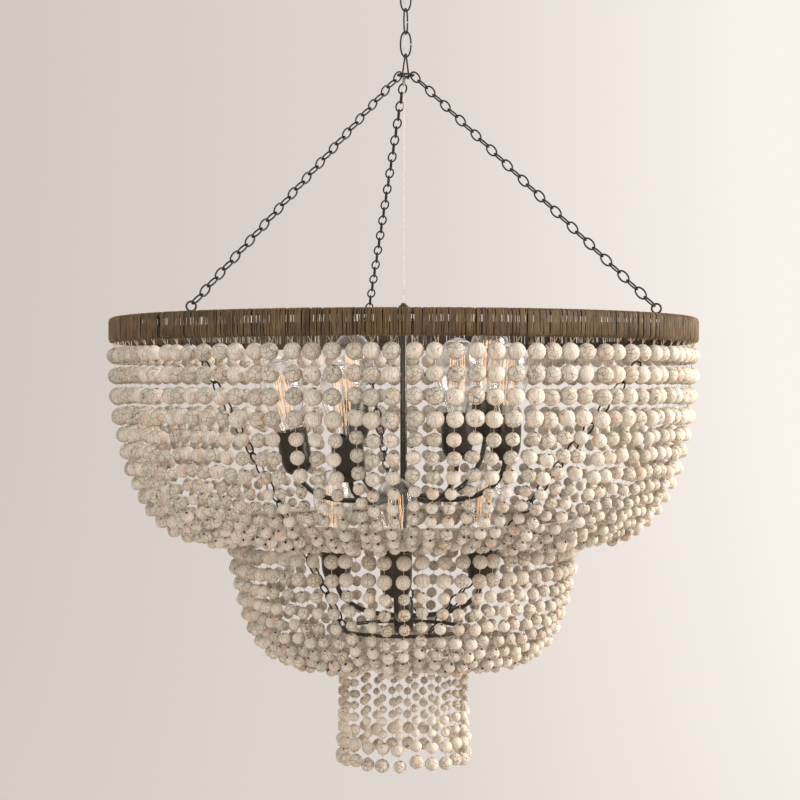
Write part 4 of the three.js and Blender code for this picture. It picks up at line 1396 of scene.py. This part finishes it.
@dataclass
class MainRing:
    """Two hoops with uprights and eyes, wound with raffia strands, and the spider that holds the stem."""

    eyes: tuple[Eye, ...]
    thickness: float = 15.5 * MM
    rounding: float = 5.5 * MM
    wall: float = 2.5 * MM
    rod: float = 6 * MM
    uprights: int = 9
    slit: float = 9 * MM
    slit_azimuth: float = 220.8
    winding_reach: float = 4.1 * MM
    winding_steps: int = 180
    doubled: float = 5 * MM
    strand: float = 1.25 * MM
    strand_lift: float = 0.9 * MM
    tilt: float = math.radians(3.0)
    slant: float = math.radians(11.0)
    pitch: float = 0.9 * MM
    window_share: float = 0.06
    window: float = 3.0 * MM
    pitch_spread: tuple[float, float] = (0.35, 1.65)
    window_spread: tuple[float, float] = (0.5, 1.0)
    spider_turn: float = 40.0
    hub: float = 34 * MM
    hub_edge: float = 1.5 * MM
    bar_width: float = 9 * MM
    bar_height: float = 5 * MM
    bar_bevel: float = 0.6 * MM
    bar_gap: float = 2.8 * MM
    hub_play: float = 0.8 * MM
    weld: float = 0.15 * MM

    def build(self) -> None:
        """Makes the wire frame, the wrap and the spider."""
        self._frame()
        self._eyes()
        self._hoop_windings()
        self._strands()
        self._spider()

    @property
    def hoop_level(self) -> float:
        """The middle of the top hoop."""
        return MAIN_TOP - self.wall - CLEARANCE - self.rod / 2

    @property
    def foot_hoop_level(self) -> float:
        """The middle of the lower hoop."""
        return MAIN_TOP - MAIN_HEIGHT + self.wall + CLEARANCE + self.rod / 2

    @property
    def gap(self) -> float:
        """The slit in the wrap, in degrees."""
        return math.degrees(self.slit / MAIN_RADIUS)

    def _frame(self) -> None:
        """The hoops and uprights."""
        shape = Shape()
        levels = (self.foot_hoop_level, self.hoop_level)
        for level in reversed(levels):
            shape.add_tube(circle(MAIN_RADIUS, level, 180), self.rod / 2, 10, True)
        for azimuth in evenly(self.uprights, self.slit_azimuth):
            shape.add_tube([polar(MAIN_RADIUS, azimuth, level) for level in levels], self.rod / 2 * 0.9, 10)
        shape.finish("ring_wire_frame", Stuff.GALVANISED, "ring_frame")

    def _eyes(self) -> None:
        """The eyes, each a loop of wire with its shank welded to the top hoop."""
        loops = Shape()
        for eye in self.eyes:
            across = polar(1.0, eye.faces + 90)
            line = [
                eye.middle + eye.radius * (across * math.cos(a) + upright(1.0) * math.sin(a))
                for a in (math.radians(b) for b in evenly(28))
            ]
            loops.add_tube(line, eye.wire / 2 + self.weld, 10, True)
            foot = polar(MAIN_RADIUS, eye.azimuth, self.hoop_level)
            loops.add_tube([foot, eye.middle - upright(eye.radius)], eye.wire / 2, 8)
        loops.finish("sling_eyes", Stuff.DARK_WIRE)

    def _hoop_windings(self) -> None:
        """The darker winding on each hoop, whose colour is painted shade. The lower one reaches higher in
        front: strands lie double.
        """
        for name, level, doubled in (
            ("upper", self.hoop_level, 0.0),
            ("lower", self.foot_hoop_level, self.doubled),
        ):
            sections = []
            for i in range(self.winding_steps + 1):
                azimuth = self.slit_azimuth + self.gap / 2 + (360 - self.gap) * i / self.winding_steps
                raised = doubled * (1 - math.sin(math.radians(azimuth)))
                sections.append(self._winding_section(azimuth, level, raised))
            shape = Shape()
            shape.add_sleeve(sections)
            shape.finish(f"{name}_hoop_winding", Stuff.SHADED_RAFFIA, "raffia_wrap")

    def _winding_section(self, azimuth: float, level: float, raised: float) -> tuple[Ring, Ring]:
        """A hoop winding's section at an azimuth.

        Args:
            azimuth: Where round the ring.
            level: The hoop's middle.
            raised: How much higher it reaches than a round winding.

        Returns:
            Its outline and the hole for the hoop.
        """
        outer, inner = [], []
        reach = self.winding_reach
        hole = self.rod / 2 + 0.1 * MM
        for turn in evenly(16):
            across, up = math.cos(math.radians(turn)), math.sin(math.radians(turn))
            middle = level + raised if up > 0 else level
            outer.append(polar(MAIN_RADIUS + reach * across, azimuth, middle + reach * up))
            inner.append(polar(MAIN_RADIUS + hole * across, azimuth, level + hole * up))
        return outer, inner

    def _strands(self) -> None:
        """The raffia strands, wound one by one round both hoops, in two pieces."""
        random.seed(SEED)
        azimuths = self._strand_azimuths()
        half = len(azimuths) // 2
        winding = winding_recipe()
        inset = self.strand_lift + CLEARANCE
        for part, chosen in enumerate((azimuths[:half], azimuths[half:])):
            points = [polar(MAIN_RADIUS, azimuth, MAIN_TOP - MAIN_HEIGHT / 2) for azimuth in chosen]
            turns = [turn_from(polar(1.0, azimuth), upright(1.0)) for azimuth in chosen]
            piece = winding.run(
                carrier_of_points(f"raffia_strands_{part + 1}", points, turns),
                Stuff.RAFFIA,
                Height=MAIN_HEIGHT - inset,
                Thickness=self.thickness - inset,
                Rounding=self.rounding,
                Strand=self.strand,
                Lift=self.strand_lift,
                Tilt=self.tilt,
                Slant=self.slant,
                Seed=SEED + part,
            )
            settle(piece, Stuff.RAFFIA, "raffia_wrap")

    def _strand_azimuths(self) -> list[float]:
        """Where each strand goes round: side by side, with slim windows here and there that show light.

        Returns:
            The azimuths in degrees, in order.
        """
        place, last = self.slit_azimuth + self.gap / 2, self.slit_azimuth + 360 - self.gap / 2
        azimuths = []
        while place < last:
            azimuths.append(place)
            step = self.pitch * random.uniform(*self.pitch_spread)
            if random.random() < self.window_share:
                step += self.window * random.uniform(*self.window_spread)
            place += math.degrees(step / MAIN_RADIUS)
        return azimuths

    def _spider(self) -> None:
        """Three flat bars from a hub round the stem to the top hoop."""
        spider = Shape()
        level = self.hoop_level
        reach = MAIN_RADIUS - self.rod / 2 - self.bar_gap
        for turn in (eye.azimuth + self.spider_turn for eye in self.eyes):
            start = polar(self.hub / 2 - 2 * MM, turn, level)
            end = polar(reach, turn, level)
            spider.add_bar(start, end, self.bar_width, self.bar_height, self.bar_bevel)
        half, radius, edge = 1.5 * self.bar_height, self.hub / 2, self.hub_edge
        upper = [(radius, half - edge), (radius - edge, half), (STEM / 2 + self.hub_play, half)]
        lower = [(r, -z) for r, z in reversed(upper)]
        spider.add_turned(lower + upper, 32, standing(level))
        spider.finish("spider_bars", Stuff.LIGHT_IRON, "spider", smooth=False)


# Lights


@dataclass(frozen=True)
class Light:
    """One light: where its cup stands, how high over the hub, as a share of the reach, and how it leans."""

    azimuth: float
    foot_share: float
    lean: float


@dataclass
class Cluster:
    """Lights on curved arms from a hub round the stem."""

    name: str
    lights: tuple[Light, ...]
    reach: float
    hub_level: float
    hub_diameter: float
    hub_height: float
    dip: float
    arm: float = 8 * MM
    arm_steps: int = 28
    cup_diameter: float = 49 * MM
    cup_height: float = 70 * MM
    seat: float = 24.4 * MM
    cap_height: float = 30 * MM
    bulb_diameter: float = 66 * MM
    bulb_height: float = 112 * MM
    neck: float = 14.6 * MM
    glass_wall: float = 0.5 * MM
    filament: float = 0.4 * MM
    crowns: tuple[float, float] = (5 * MM, 11 * MM)
    crown_levels: tuple[float, float] = (0.14, 0.76)
    strands: int = 10
    cage_turn: float = 22.0
    cage_bow: float = 3 * MM
    rod: float = 1.1 * MM

    def build(self) -> None:
        """Makes the hub with its arms, and each light's cup and bulb."""
        arms = Shape()
        self._add_hub(arms)
        for light in self.lights:
            arms.add_tube(self._arm_line(light), self.arm / 2, 12)
        arms.finish(f"{self.name}_hub_and_arms", Stuff.LIGHT_IRON, f"{self.name}_arms")
        for i, light in enumerate(self.lights, 1):
            place = self._place(light)
            self._cup(f"{self.name}_cup_{i}", place)
            self._bulb(f"{self.name}_bulb_{i}", place)

    def _place(self, light: Light) -> Matrix:
        """The frame of a light: its foot at the origin, its axis along Z.

        Args:
            light: Which light.

        Returns:
            Its frame.
        """
        lean = Matrix.Rotation(math.radians(light.lean), 4, polar(1.0, light.azimuth + 90))
        level = self.hub_level + light.foot_share * self.reach
        return Matrix.Translation(polar(self.reach, light.azimuth, level)) @ lean

    def _arm_line(self, light: Light) -> Ring:
        """The arm's middle line: out from the hub with a dip, then up under the cup.

        Args:
            light: The light at its end.

        Returns:
            Its points.
        """
        place = self._place(light)
        foot = place @ upright(0.5 * MM)
        climb = foot.z - self.hub_level + self.dip
        start = polar(self.hub_diameter / 2 - 3 * MM, light.azimuth, self.hub_level)
        out = polar(self.reach * 0.62, light.azimuth, self.hub_level - self.dip)
        under = place @ upright(-0.6 * climb)
        line = []
        for t in (i / self.arm_steps for i in range(self.arm_steps + 1)):
            s = 1 - t
            line.append(start * s**3 + 3 * out * t * s**2 + 3 * under * t * t * s + foot * t**3)
        return line

    def _add_hub(self, shape: Shape) -> None:
        """A turned hub with a rounded edge and a small collar at each end.

        Args:
            shape: The shape that it joins.
        """
        radius, half = self.hub_diameter / 2, self.hub_height / 2
        lower = [(STEM / 2 + 0.4 * MM, -half)]
        for share, rise in ((0.55, 0), (0.6, 3 * MM), (0.9, 4.5 * MM), (1.0, 8 * MM)):
            lower.append((radius * share, -half + rise))
        upper = [(r, -z) for r, z in reversed(lower)]
        shape.add_turned(lower + upper, 40, standing(self.hub_level))

    def _cup(self, node: str, place: Matrix) -> None:
        """A spun cup with a rolled rim and its lamp holder inside.

        Args:
            node: The CAD node that it stands for.
            place: The light's frame.
        """
        rim, high = self.cup_diameter / 2 - 0.3 * MM, self.cup_height
        outside = [(8 * MM, 0.6 * MM), (0.62 * rim, 3.5 * MM), (0.82 * rim, 9 * MM), (0.96 * rim, 20 * MM)]
        outside += [(rim * 0.99, 36 * MM), (rim * 0.985, high - 3 * MM)]
        roll = ((0, 1.8), (0, 0.6), (0.8, 0), (2, 0), (2.6, 1), (2.8, 3))
        profile = [(0.0, 0.3 * MM), (6 * MM, 0.3 * MM), *smooth_profile(outside, 5)]
        profile += [(rim - inward * MM, high - down * MM) for inward, down in roll]
        holder, floor, mouth = 13.3 * MM, 24.1 * MM, 50 * MM
        profile += [(rim - 3 * MM, mouth), (holder, mouth), (holder, floor), (0.0, floor)]
        cup = Shape()
        cup.add_turned(profile, 48, place)
        cup.finish(node + "_shell", Stuff.LIGHT_IRON, node)

    def _bulb(self, node: str, place: Matrix) -> None:
        """A clear blown bulb with a screw cap and a cage of filament strands.

        Args:
            node: The CAD node that it stands for, and its body.
            place: The light's frame.
        """
        glass = Shape()
        outline = [*self._glass_profile(0.0), *reversed(self._glass_profile(self.glass_wall))]
        glass.add_turned(outline, 40, place)
        glass.finish(node + "_glass", Stuff.GLASS, node, body=node)
        crest, root, collar = 12.7, 12.0, 13.4
        turned = [(0.0, 0.0), (5, 0.0), (7, 2), (11, 3.5)]
        for level in (5 + 3.4 * i for i in range(6)):
            turned += [(crest, level), (root, level + 1.7)]
        turned += [(crest, 25.4), (collar, 27), (collar, 30), (0.0, 30)]
        cap = Shape()
        cap.add_turned([(r * MM, self.seat + z * MM) for r, z in turned], 32, place)
        cap.finish(node + "_cap", Stuff.BRASS, body=node)
        self._filament(node, place)

    def _glass_profile(self, wall: float) -> list[tuple[float, float]]:
        """The bulb's outline from its neck to its tip, drawn in by a wall.

        Args:
            wall: How far it is drawn in.

        Returns:
            (radius, height) pairs over the light's foot.
        """
        radius, high = self.bulb_diameter / 2 - wall, self.bulb_height
        base, neck = self.cup_height, self.neck - wall
        outline = [(neck * 0.93, base - 15 * MM), (neck, base), (neck * 1.16, base + 0.09 * high)]
        swell = ((0.62, 0.2), (0.84, 0.34), (0.98, 0.52), (0.985, 0.66), (0.86, 0.81), (0.56, 0.93))
        outline += [(wide * radius, base + up * high) for wide, up in swell]
        outline += [(0.26 * radius, base + 0.98 * high - wall), (0.0, base + high - wall - 0.4 * MM)]
        return smooth_profile(outline, 4)

    def _filament(self, node: str, place: Matrix) -> None:
        """Long filament strands between an upper and a lower crown, on a slim glass rod from the cap.

        Args:
            node: The bulb's body.
            place: The light's frame.
        """
        low, top = (self.cup_height + share * self.bulb_height for share in self.crown_levels)
        rod = Shape()
        foot = self.seat + self.cap_height
        rod.add_tube([place @ upright(z) for z in (foot, low, top + 2 * MM)], self.rod, 8)
        rod.finish(node + "_rod", Stuff.GLASS, body=node)
        wires = Shape()
        for i, azimuth in enumerate(evenly(self.strands)):
            ends = self.crowns[::-1] if i % 2 else self.crowns
            line = [polar(ends[0], azimuth, low), polar(ends[1], azimuth + self.cage_turn, top)]
            line.insert(1, (line[0] + line[1]) / 2 + polar(self.cage_bow, azimuth + self.cage_turn / 2))
            wires.add_tube([place @ p for p in smooth_line(line, 6)], self.filament, 5)
        wires.finish(node + "_filament", Stuff.FILAMENT, body=node)


# Stem and knob


@dataclass
class Stem:
    """The straight tube down the middle and the small turned knob on its top."""

    radius: float = STEM / 2 - 0.1 * MM
    edge: float = 0.6 * MM
    top: float = MAIN_TOP - CLEARANCE
    foot: float = -981 * MM
    knob_diameter: float = 22 * MM
    knob_height: float = 26 * MM

    def build(self) -> None:
        """Makes both pieces."""
        tube = Shape()
        inner = self.radius - self.edge
        outline = [(0.0, self.foot), (inner, self.foot), (self.radius, self.foot + self.edge)]
        outline += [(self.radius, self.top - self.edge), (inner, self.top), (0.0, self.top)]
        tube.add_turned(outline, 28)
        tube.finish("centre_tube", Stuff.LIGHT_IRON, "stem")
        low, wide, high = MAIN_TOP, self.knob_diameter / 2, self.knob_height
        turned = ((0.6, 0.02), (0.56, 0.12), (0.72, 0.2), (0.98, 0.5), (0.7, 0.8), (0.4, 0.9), (0.36, 0.98))
        outline = smooth_profile([(share * wide, low + up * high) for share, up in turned], 4)
        outline = [(0.0, low), (0.5 * wide, low), *outline, (0.2 * wide, low + high), (0.0, low + high)]
        knob = Shape()
        knob.add_turned(outline, 28)
        knob.finish("turned_knob", Stuff.LIGHT_IRON, "knob")


# Bead strands


@dataclass
class Strand:
    """One hanging strand, with the places of its beads.

    Each stretch of thread lies along the pull in it. Each bead takes its weight, as its diameter cubed, off
    the upright part of that pull, and adds a share of it to the level part, because its neighbours crowd it
    outward.
    """

    beads: Sequence[float]
    top_thread: float
    end_thread: float
    knot: float
    crowding: float
    halvings: int = 34

    def hang(self, top: tuple[float, float], end: tuple[float, float]) -> list[tuple[float, float]]:
        """Finds where the beads hang.

        Args:
            top: The (radius, level) that the strand hangs from.
            end: The (radius, level) that its lower end is tied to.

        Returns:
            (radius, level) of the top, of each bead and of the end.
        """
        spans = [self.top_thread + self.beads[0] / 2]
        spans += [(a + b) / 2 + self.knot for a, b in zip(self.beads, self.beads[1:])]
        spans.append(self.beads[-1] / 2 + self.end_thread)
        weights = [(bead / MM) ** 3 for bead in self.beads] + [0.0]
        load = sum(weights)

        def walk(level: float, upright_pull: float) -> list[tuple[float, float]]:
            """Lays the strand out from its top for a level and an upright pull.

            Args:
                level: The level pull at the top.
                upright_pull: The upright pull at the top.

            Returns:
                (radius, level) of each station.
            """
            at = top
            stations = [at]
            for span, weight in zip(spans, weights):
                length = math.hypot(level, upright_pull)
                at = (at[0] - span * level / length, at[1] - span * upright_pull / length)
                stations.append(at)
                upright_pull -= weight
                level += weight * self.crowding
            return stations

        def halve(low: float, high: float, too_low: Callable[[float], bool]) -> float:
            """Closes in on the value where a test changes.

            Args:
                low: The least that it can be.
                high: The most that it can be.
                too_low: The test, true below the value.

            Returns:
                The value.
            """
            for _ in range(self.halvings):
                middle = (low + high) / 2
                low, high = (middle, high) if too_low(middle) else (low, middle)
            return (low + high) / 2

        def upright_for(level: float) -> float:
            """The upright pull that brings the end to its level."""
            return halve(-load, 2 * load, lambda pull: walk(level, pull)[-1][1] > end[1])

        level = halve(0.0, load, lambda pull: walk(pull, upright_for(pull))[-1][0] > end[0])
        return walk(level, upright_for(level))


def bead_object() -> bpy.types.Object:
    """A turned bead of unit diameter, drilled through along Z, a little flattened at its two mouths.

    Returns:
        The bead, which is copied and then removed.
    """
    bore, mouth = 0.09, 0.46
    outline = []
    for angle in (math.radians(-75 + 30 * i) for i in range(6)):
        outline.append((0.522 * math.cos(angle), 0.507 * math.sin(angle)))
    shape = Shape()
    shape.add_turned([(bore, -mouth), *outline, (bore, mouth)], 12)
    bead = shape.to_object("bead_pattern", Stuff.BEADS)
    # Marks the points in the bore, where the material paints the hole's shade near black
    bore_shade_mark = bead.data.attributes.new("bore", "FLOAT", "POINT")
    local = bead.data.attributes.new("local", "FLOAT_VECTOR", "POINT")
    for vertex, depth, place in zip(bead.data.vertices, bore_shade_mark.data, local.data):
        depth.value = 1.0 if math.hypot(vertex.co.x, vertex.co.y) < bore * 1.05 else 0.0
        place.vector = vertex.co
    return bead


@dataclass
class Kit:
    """What every strand is made with: the bead that is repeated and the recipes for beads and threads."""

    bead: bpy.types.Object = field(default_factory=bead_object)
    strings: Recipe = field(default_factory=string_recipe)
    threads: Recipe = field(default_factory=thread_recipe)

    def run_threads(self, name: str, lines: Iterable[Ring], thickness: float, body: str = "fixture") -> None:
        """Makes a piece of cotton thread along lines.

        Args:
            name: The piece's name.
            lines: The lines.
            thickness: The thread's diameter.
            body: The body that it rides on.
        """
        carrier = carrier_of_lines(name, lines)
        piece = self.threads.run(carrier, Stuff.COTTON, Thickness=thickness, Sides=5)
        settle(piece, Stuff.COTTON, body=body)


@dataclass
class Strung:
    """What one strand adds to a piece: its beads' middles, turns and sizes, and its thread's line."""

    points: Ring
    turns: list[Euler]
    sizes: Ring
    thread: Ring


@dataclass
class Tier:
    """A tier of bead strands between two hoops, or hanging free from one."""

    name: str
    beads: tuple[float, ...]
    count: int
    first: float
    top: tuple[float, float]
    end: tuple[float, float] | None
    top_thread: float
    end_thread: float
    bodies: tuple[str, ...]
    nodes: tuple[str, ...]
    loose: float
    crowding: float = 0.0
    knot: float = 5.6 * MM
    parting: float = 0.0
    size_spread: float = 0.02
    jitter: float = 0.02
    odd_share: float = 0.05
    most_beads: int = 1000
    thread: float = 0.85 * MM
    stray: float = 0.35 * MM
    stray_beads: int = 6
    wobble: float = math.radians(9)
    knot_spread: tuple[float, float] = (0.86, 1.08)
    # The least and the most of a bead's size that it has across and along, and a lopsided one each way
    form: tuple[tuple[float, float], ...] = ((0.97, 1.0), (0.95, 1.0))
    odd_form: tuple[tuple[float, float], ...] = ((0.8, 0.95), (0.98, 1.04), (0.88, 1.0))
    tail_share: float = 0.4

    def build(self, kit: Kit) -> None:
        """Makes the tier's beads and threads, one piece of each for every body and size group.

        Args:
            kit: What every strand is made with.
        """
        random.seed(SEED + len(self.name))
        share = self.count // len(self.bodies)
        for b, body in enumerate(self.bodies):
            strung = [self._string(self._azimuth(b, i, share)) for i in range(share)]
            groups = math.ceil(share * len(self.beads) / self.most_beads)
            for g in range(groups):
                suffix = f"_{b + 1:02d}" if len(self.bodies) > 1 else f"_{g + 1}" if groups > 1 else ""
                chosen = strung[share * g // groups : share * (g + 1) // groups]
                self._dress(suffix, b, SEED + g, kit, chosen)

    def _azimuth(self, body: int, index: int, share: int) -> float:
        """Where a strand hangs: evenly round the hoop, a little aside at random, and parted at the front.

        Args:
            body: Which of the tier's bodies.
            index: Which strand of that body.
            share: How many strands each body has.

        Returns:
            The azimuth in degrees.
        """
        pitch = 360.0 / self.count
        place = self.first + (body * share + index - (share - 1) / 2 * (len(self.bodies) > 1)) * pitch
        from_front = (place - 90) % 360 - 180
        parting = math.copysign(self.parting * math.exp(-abs(from_front) / pitch), from_front)
        return place + parting + random.uniform(-self.loose, self.loose) * pitch

    def _string(self, azimuth: float) -> Strung:
        """Strings one strand at an azimuth. Its beads stray more the further down they hang.

        Args:
            azimuth: Where it hangs, in degrees.

        Returns:
            The strand with its beads.
        """
        beads = [d * MM * (1 + random.uniform(-self.size_spread, self.size_spread)) for d in self.beads]
        knot = self.knot * random.uniform(*self.knot_spread)
        if self.end:
            strand = Strand(beads, self.top_thread, self.end_thread, knot, self.crowding)
            stations = strand.hang(self.top, self.end)
        else:
            stations = self._plumb(beads, knot)
        across = polar(1.0, azimuth + 90)
        line = [polar(r, azimuth, z) for r, z in stations]
        strung = Strung([], [], [], line)
        for i, place in enumerate(line[1:-1], 1):
            swing = min(i, self.stray_beads) * self.stray
            place += across * random.uniform(-swing, swing)
            strung.points.append(place)
            strung.turns.append(self._turn((line[i + 1] - line[i - 1]).normalized()))
            strung.sizes.append(beads[i - 1] * self._form())
        return strung

    def _form(self) -> Vector:
        """A bead's form: nearly round, and now and then a lopsided nugget.

        Returns:
            Its scale each way.
        """
        if random.random() < self.odd_share:
            return Vector([random.uniform(*ends) for ends in self.odd_form])
        return Vector([1.0, *(random.uniform(*ends) for ends in self.form)])

    def _plumb(self, beads: Sequence[float], knot: float) -> list[tuple[float, float]]:
        """Straight down from the hoop, never longer than the listed beads and knots.

        Args:
            beads: The beads' diameters.
            knot: The bare thread between two beads.

        Returns:
            (radius, level) of the top, of each bead and of the end.
        """
        listed = sum(self.beads) * MM + (len(beads) - 1) * self.knot - 2 * CLEARANCE
        knot = min(knot, (listed - sum(beads)) / (len(beads) - 1))
        radius, level = self.top
        stations = [(radius, level)]
        level -= self.top_thread + beads[0] / 2
        for i, diameter in enumerate(beads):
            if i:
                level -= (beads[i - 1] + diameter) / 2 + knot
            stations.append((radius, level))
        stations.append((radius, level - self.tail_share * beads[-1]))
        return stations

    def _turn(self, along: Vector) -> Euler:
        """The turn of a bead on its thread: its bore nearly along the thread, rolled at random.

        Args:
            along: The thread's direction.

        Returns:
            The turn.
        """
        side = along.orthogonal().normalized()
        roll = Matrix.Rotation(random.uniform(0, 2 * math.pi), 3, along)
        wobble = Matrix.Rotation(random.gauss(0, self.wobble), 3, side)
        x_axis = roll @ side
        z_axis = (wobble @ along).normalized()
        x_axis = (x_axis - z_axis * x_axis.dot(z_axis)).normalized()
        return turn_from(x_axis, z_axis.cross(x_axis))

    def _dress(self, suffix: str, body: int, seed: int, kit: Kit, strung: Sequence[Strung]) -> None:
        """Makes one piece of beads and one of threads.

        Args:
            suffix: What tells the pieces' names from the tier's others.
            body: Which of the tier's bodies they ride on.
            seed: The seed of the beads' jitter.
            kit: What every strand is made with.
            strung: The strands.
        """
        points = [p for strand in strung for p in strand.points]
        turns = [t for strand in strung for t in strand.turns]
        sizes = [s for strand in strung for s in strand.sizes]
        carrier = carrier_of_points(f"{self.name}_beads{suffix}", points, turns, sizes)
        piece = kit.strings.run(carrier, Stuff.BEADS, Bead=kit.bead, Jitter=self.jitter, Seed=seed)
        settle(piece, Stuff.BEADS, self.nodes[body], body=self.bodies[body])
        lines = [strand.thread for strand in strung]
        kit.run_threads(f"{self.name}_threads{suffix}", lines, self.thread, self.bodies[body])


@dataclass
class Tiers:
    """The three tiers, their two hoops and the cotton loops that tie the outer tier to the main ring."""

    outer_count: int = 100
    outer_first: float = 1.8
    outer_radius: float = MAIN_RADIUS - 1.8 * MM
    outer_top: float = MAIN_TOP - MAIN_HEIGHT - CLEARANCE
    outer_thread: float = 6.5 * MM
    middle: tuple[float, float] = (266 * MM, -828 * MM)
    lower: tuple[float, float] = (97 * MM, -1001 * MM)
    middle_rod: float = 7 * MM
    lower_rod: float = 6 * MM
    tie: float = 0.75 * MM
    # How far a loop's two ends lie from its middle, in millimetres
    tie_spread: tuple[float, float] = (2.5, 4.5)
    tie_out: float = 2 * MM
    tie_up: float = 1.2 * MM
    tie_sag: float = 0.5 * MM
    outer_beads: tuple[float, ...] = (25.0,) * 4 + (20.5,) * 3 + (17.0,) * 9
    inner_beads: tuple[float, ...] = (24, 22, 22, 18, 18, 17.5, 17.5, 17.5, 17.5, 17.5, 17, 15, 12, 11)
    fringe_beads: tuple[float, ...] = (11, 11, 11, 11, 11, 12, 12, 14, 14, 19, 20)

    def build(self) -> None:
        """Makes the tiers from the outside in, then the hoops and the loops."""
        kit = Kit()
        for tier in (self._outer(), self._inner(), self._fringe()):
            tier.build(kit)
        bpy.data.objects.remove(kit.bead)
        self._hoops()
        self._cotton_loops(kit)

    def _outer(self) -> Tier:
        """The outer tier, from the main ring to the middle hoop, parted at the front round the stem.

        Returns:
            The tier.
        """
        return Tier(
            name="outer",
            beads=self.outer_beads,
            count=self.outer_count,
            first=self.outer_first,
            top=(self.outer_radius, self.outer_top),
            end=self.middle,
            top_thread=self.outer_thread,
            end_thread=2 * MM,
            bodies=("fixture",),
            nodes=("middle_ring_and_outer_strands",),
            loose=0.17,
            crowding=0.1,
            parting=0.5,
        )

    def _inner(self) -> Tier:
        """The inner tier, from the middle hoop to the lower one.

        Returns:
            The tier.
        """
        return Tier(
            name="inner",
            beads=self.inner_beads,
            count=60,
            first=18.0,
            top=(self.middle[0], self.middle[1] - self.middle_rod / 2 - CLEARANCE),
            end=self.lower,
            top_thread=2 * MM,
            end_thread=16 * MM,
            bodies=("fixture",),
            nodes=("lower_ring_and_inner_strands",),
            loose=0.14,
            crowding=0.14,
        )

    def _fringe(self) -> Tier:
        """The fringe, which hangs free from the lower hoop, two strands on each body.

        Returns:
            The tier.
        """
        bodies = tuple(f"fringe_strand_{i:02d}" for i in range(1, 13))
        return Tier(
            name="fringe",
            beads=self.fringe_beads,
            count=24,
            first=3.0,
            top=(self.lower[0], self.lower[1] - self.lower_rod / 2 - CLEARANCE),
            end=None,
            top_thread=3 * MM,
            end_thread=0.0,
            bodies=bodies,
            nodes=bodies,
            loose=0.0,
            size_spread=0.08,
        )

    def _hoops(self) -> None:
        """The two hoops: the middle one is bound with cotton, the lower one is bare iron."""
        for name, (radius, level), rod, stuff in (
            ("middle_hoop", self.middle, self.middle_rod, Stuff.COTTON),
            ("lower_hoop", self.lower, self.lower_rod, Stuff.LIGHT_IRON),
        ):
            hoop = Shape()
            hoop.add_tube(circle(radius, level, 144), rod / 2, 10, True)
            hoop.finish(name, stuff)

    def _cotton_loops(self, kit: Kit) -> None:
        """Thin loops that come out of the wrap in a V and meet at each strand's first bead.

        Args:
            kit: What every strand is made with.
        """
        random.seed(SEED)
        lines = []
        for azimuth in evenly(self.outer_count, self.outer_first):
            meet = polar(self.outer_radius, azimuth, self.outer_top - self.outer_thread)
            spread = math.degrees(random.uniform(*self.tie_spread) * MM / MAIN_RADIUS)
            for side in (-1, 1):
                place = azimuth + side * spread
                tie = polar(MAIN_RADIUS + self.tie_out, place, self.outer_top + self.tie_up)
                lines.append([tie, (tie + meet) / 2 - upright(self.tie_sag), meet])
        kit.run_threads("cotton_ties", lines, self.tie)


EYES = (Eye(229.0, 270.0), Eye(323.0, 270.0), Eye(98.5, 188.5))
UPPER_LIGHTS = (
    Light(198, 0.196, 12),
    Light(242, 0.155, 11),
    Light(298, 0.351, 1),
    Light(337, 0.321, 2),
    Light(38, 0.524, 4),
    Light(118, 0.464, 5),
)
LOWER_LIGHTS = (Light(145, 0.346, 3), Light(265, 0.323, 2), Light(19, 0.362, 3))


def main() -> None:
    """Builds the studio and every sub-assembly in order."""
    logging.basicConfig(level=logging.INFO, format="%(name)s: %(message)s")
    Studio().build()
    suspension = Suspension()
    suspension.build()
    Chains(suspension, EYES).build()
    MainRing(EYES).build()
    Stem().build()
    Cluster("upper", UPPER_LIGHTS, 168 * MM, -790 * MM, 40 * MM, 35 * MM, 22 * MM).build()
    Cluster("lower", LOWER_LIGHTS, 130 * MM, -981 * MM, 31 * MM, 60 * MM, 4 * MM).build()
    Tiers().build()


if __name__ == "__main__":
    main()
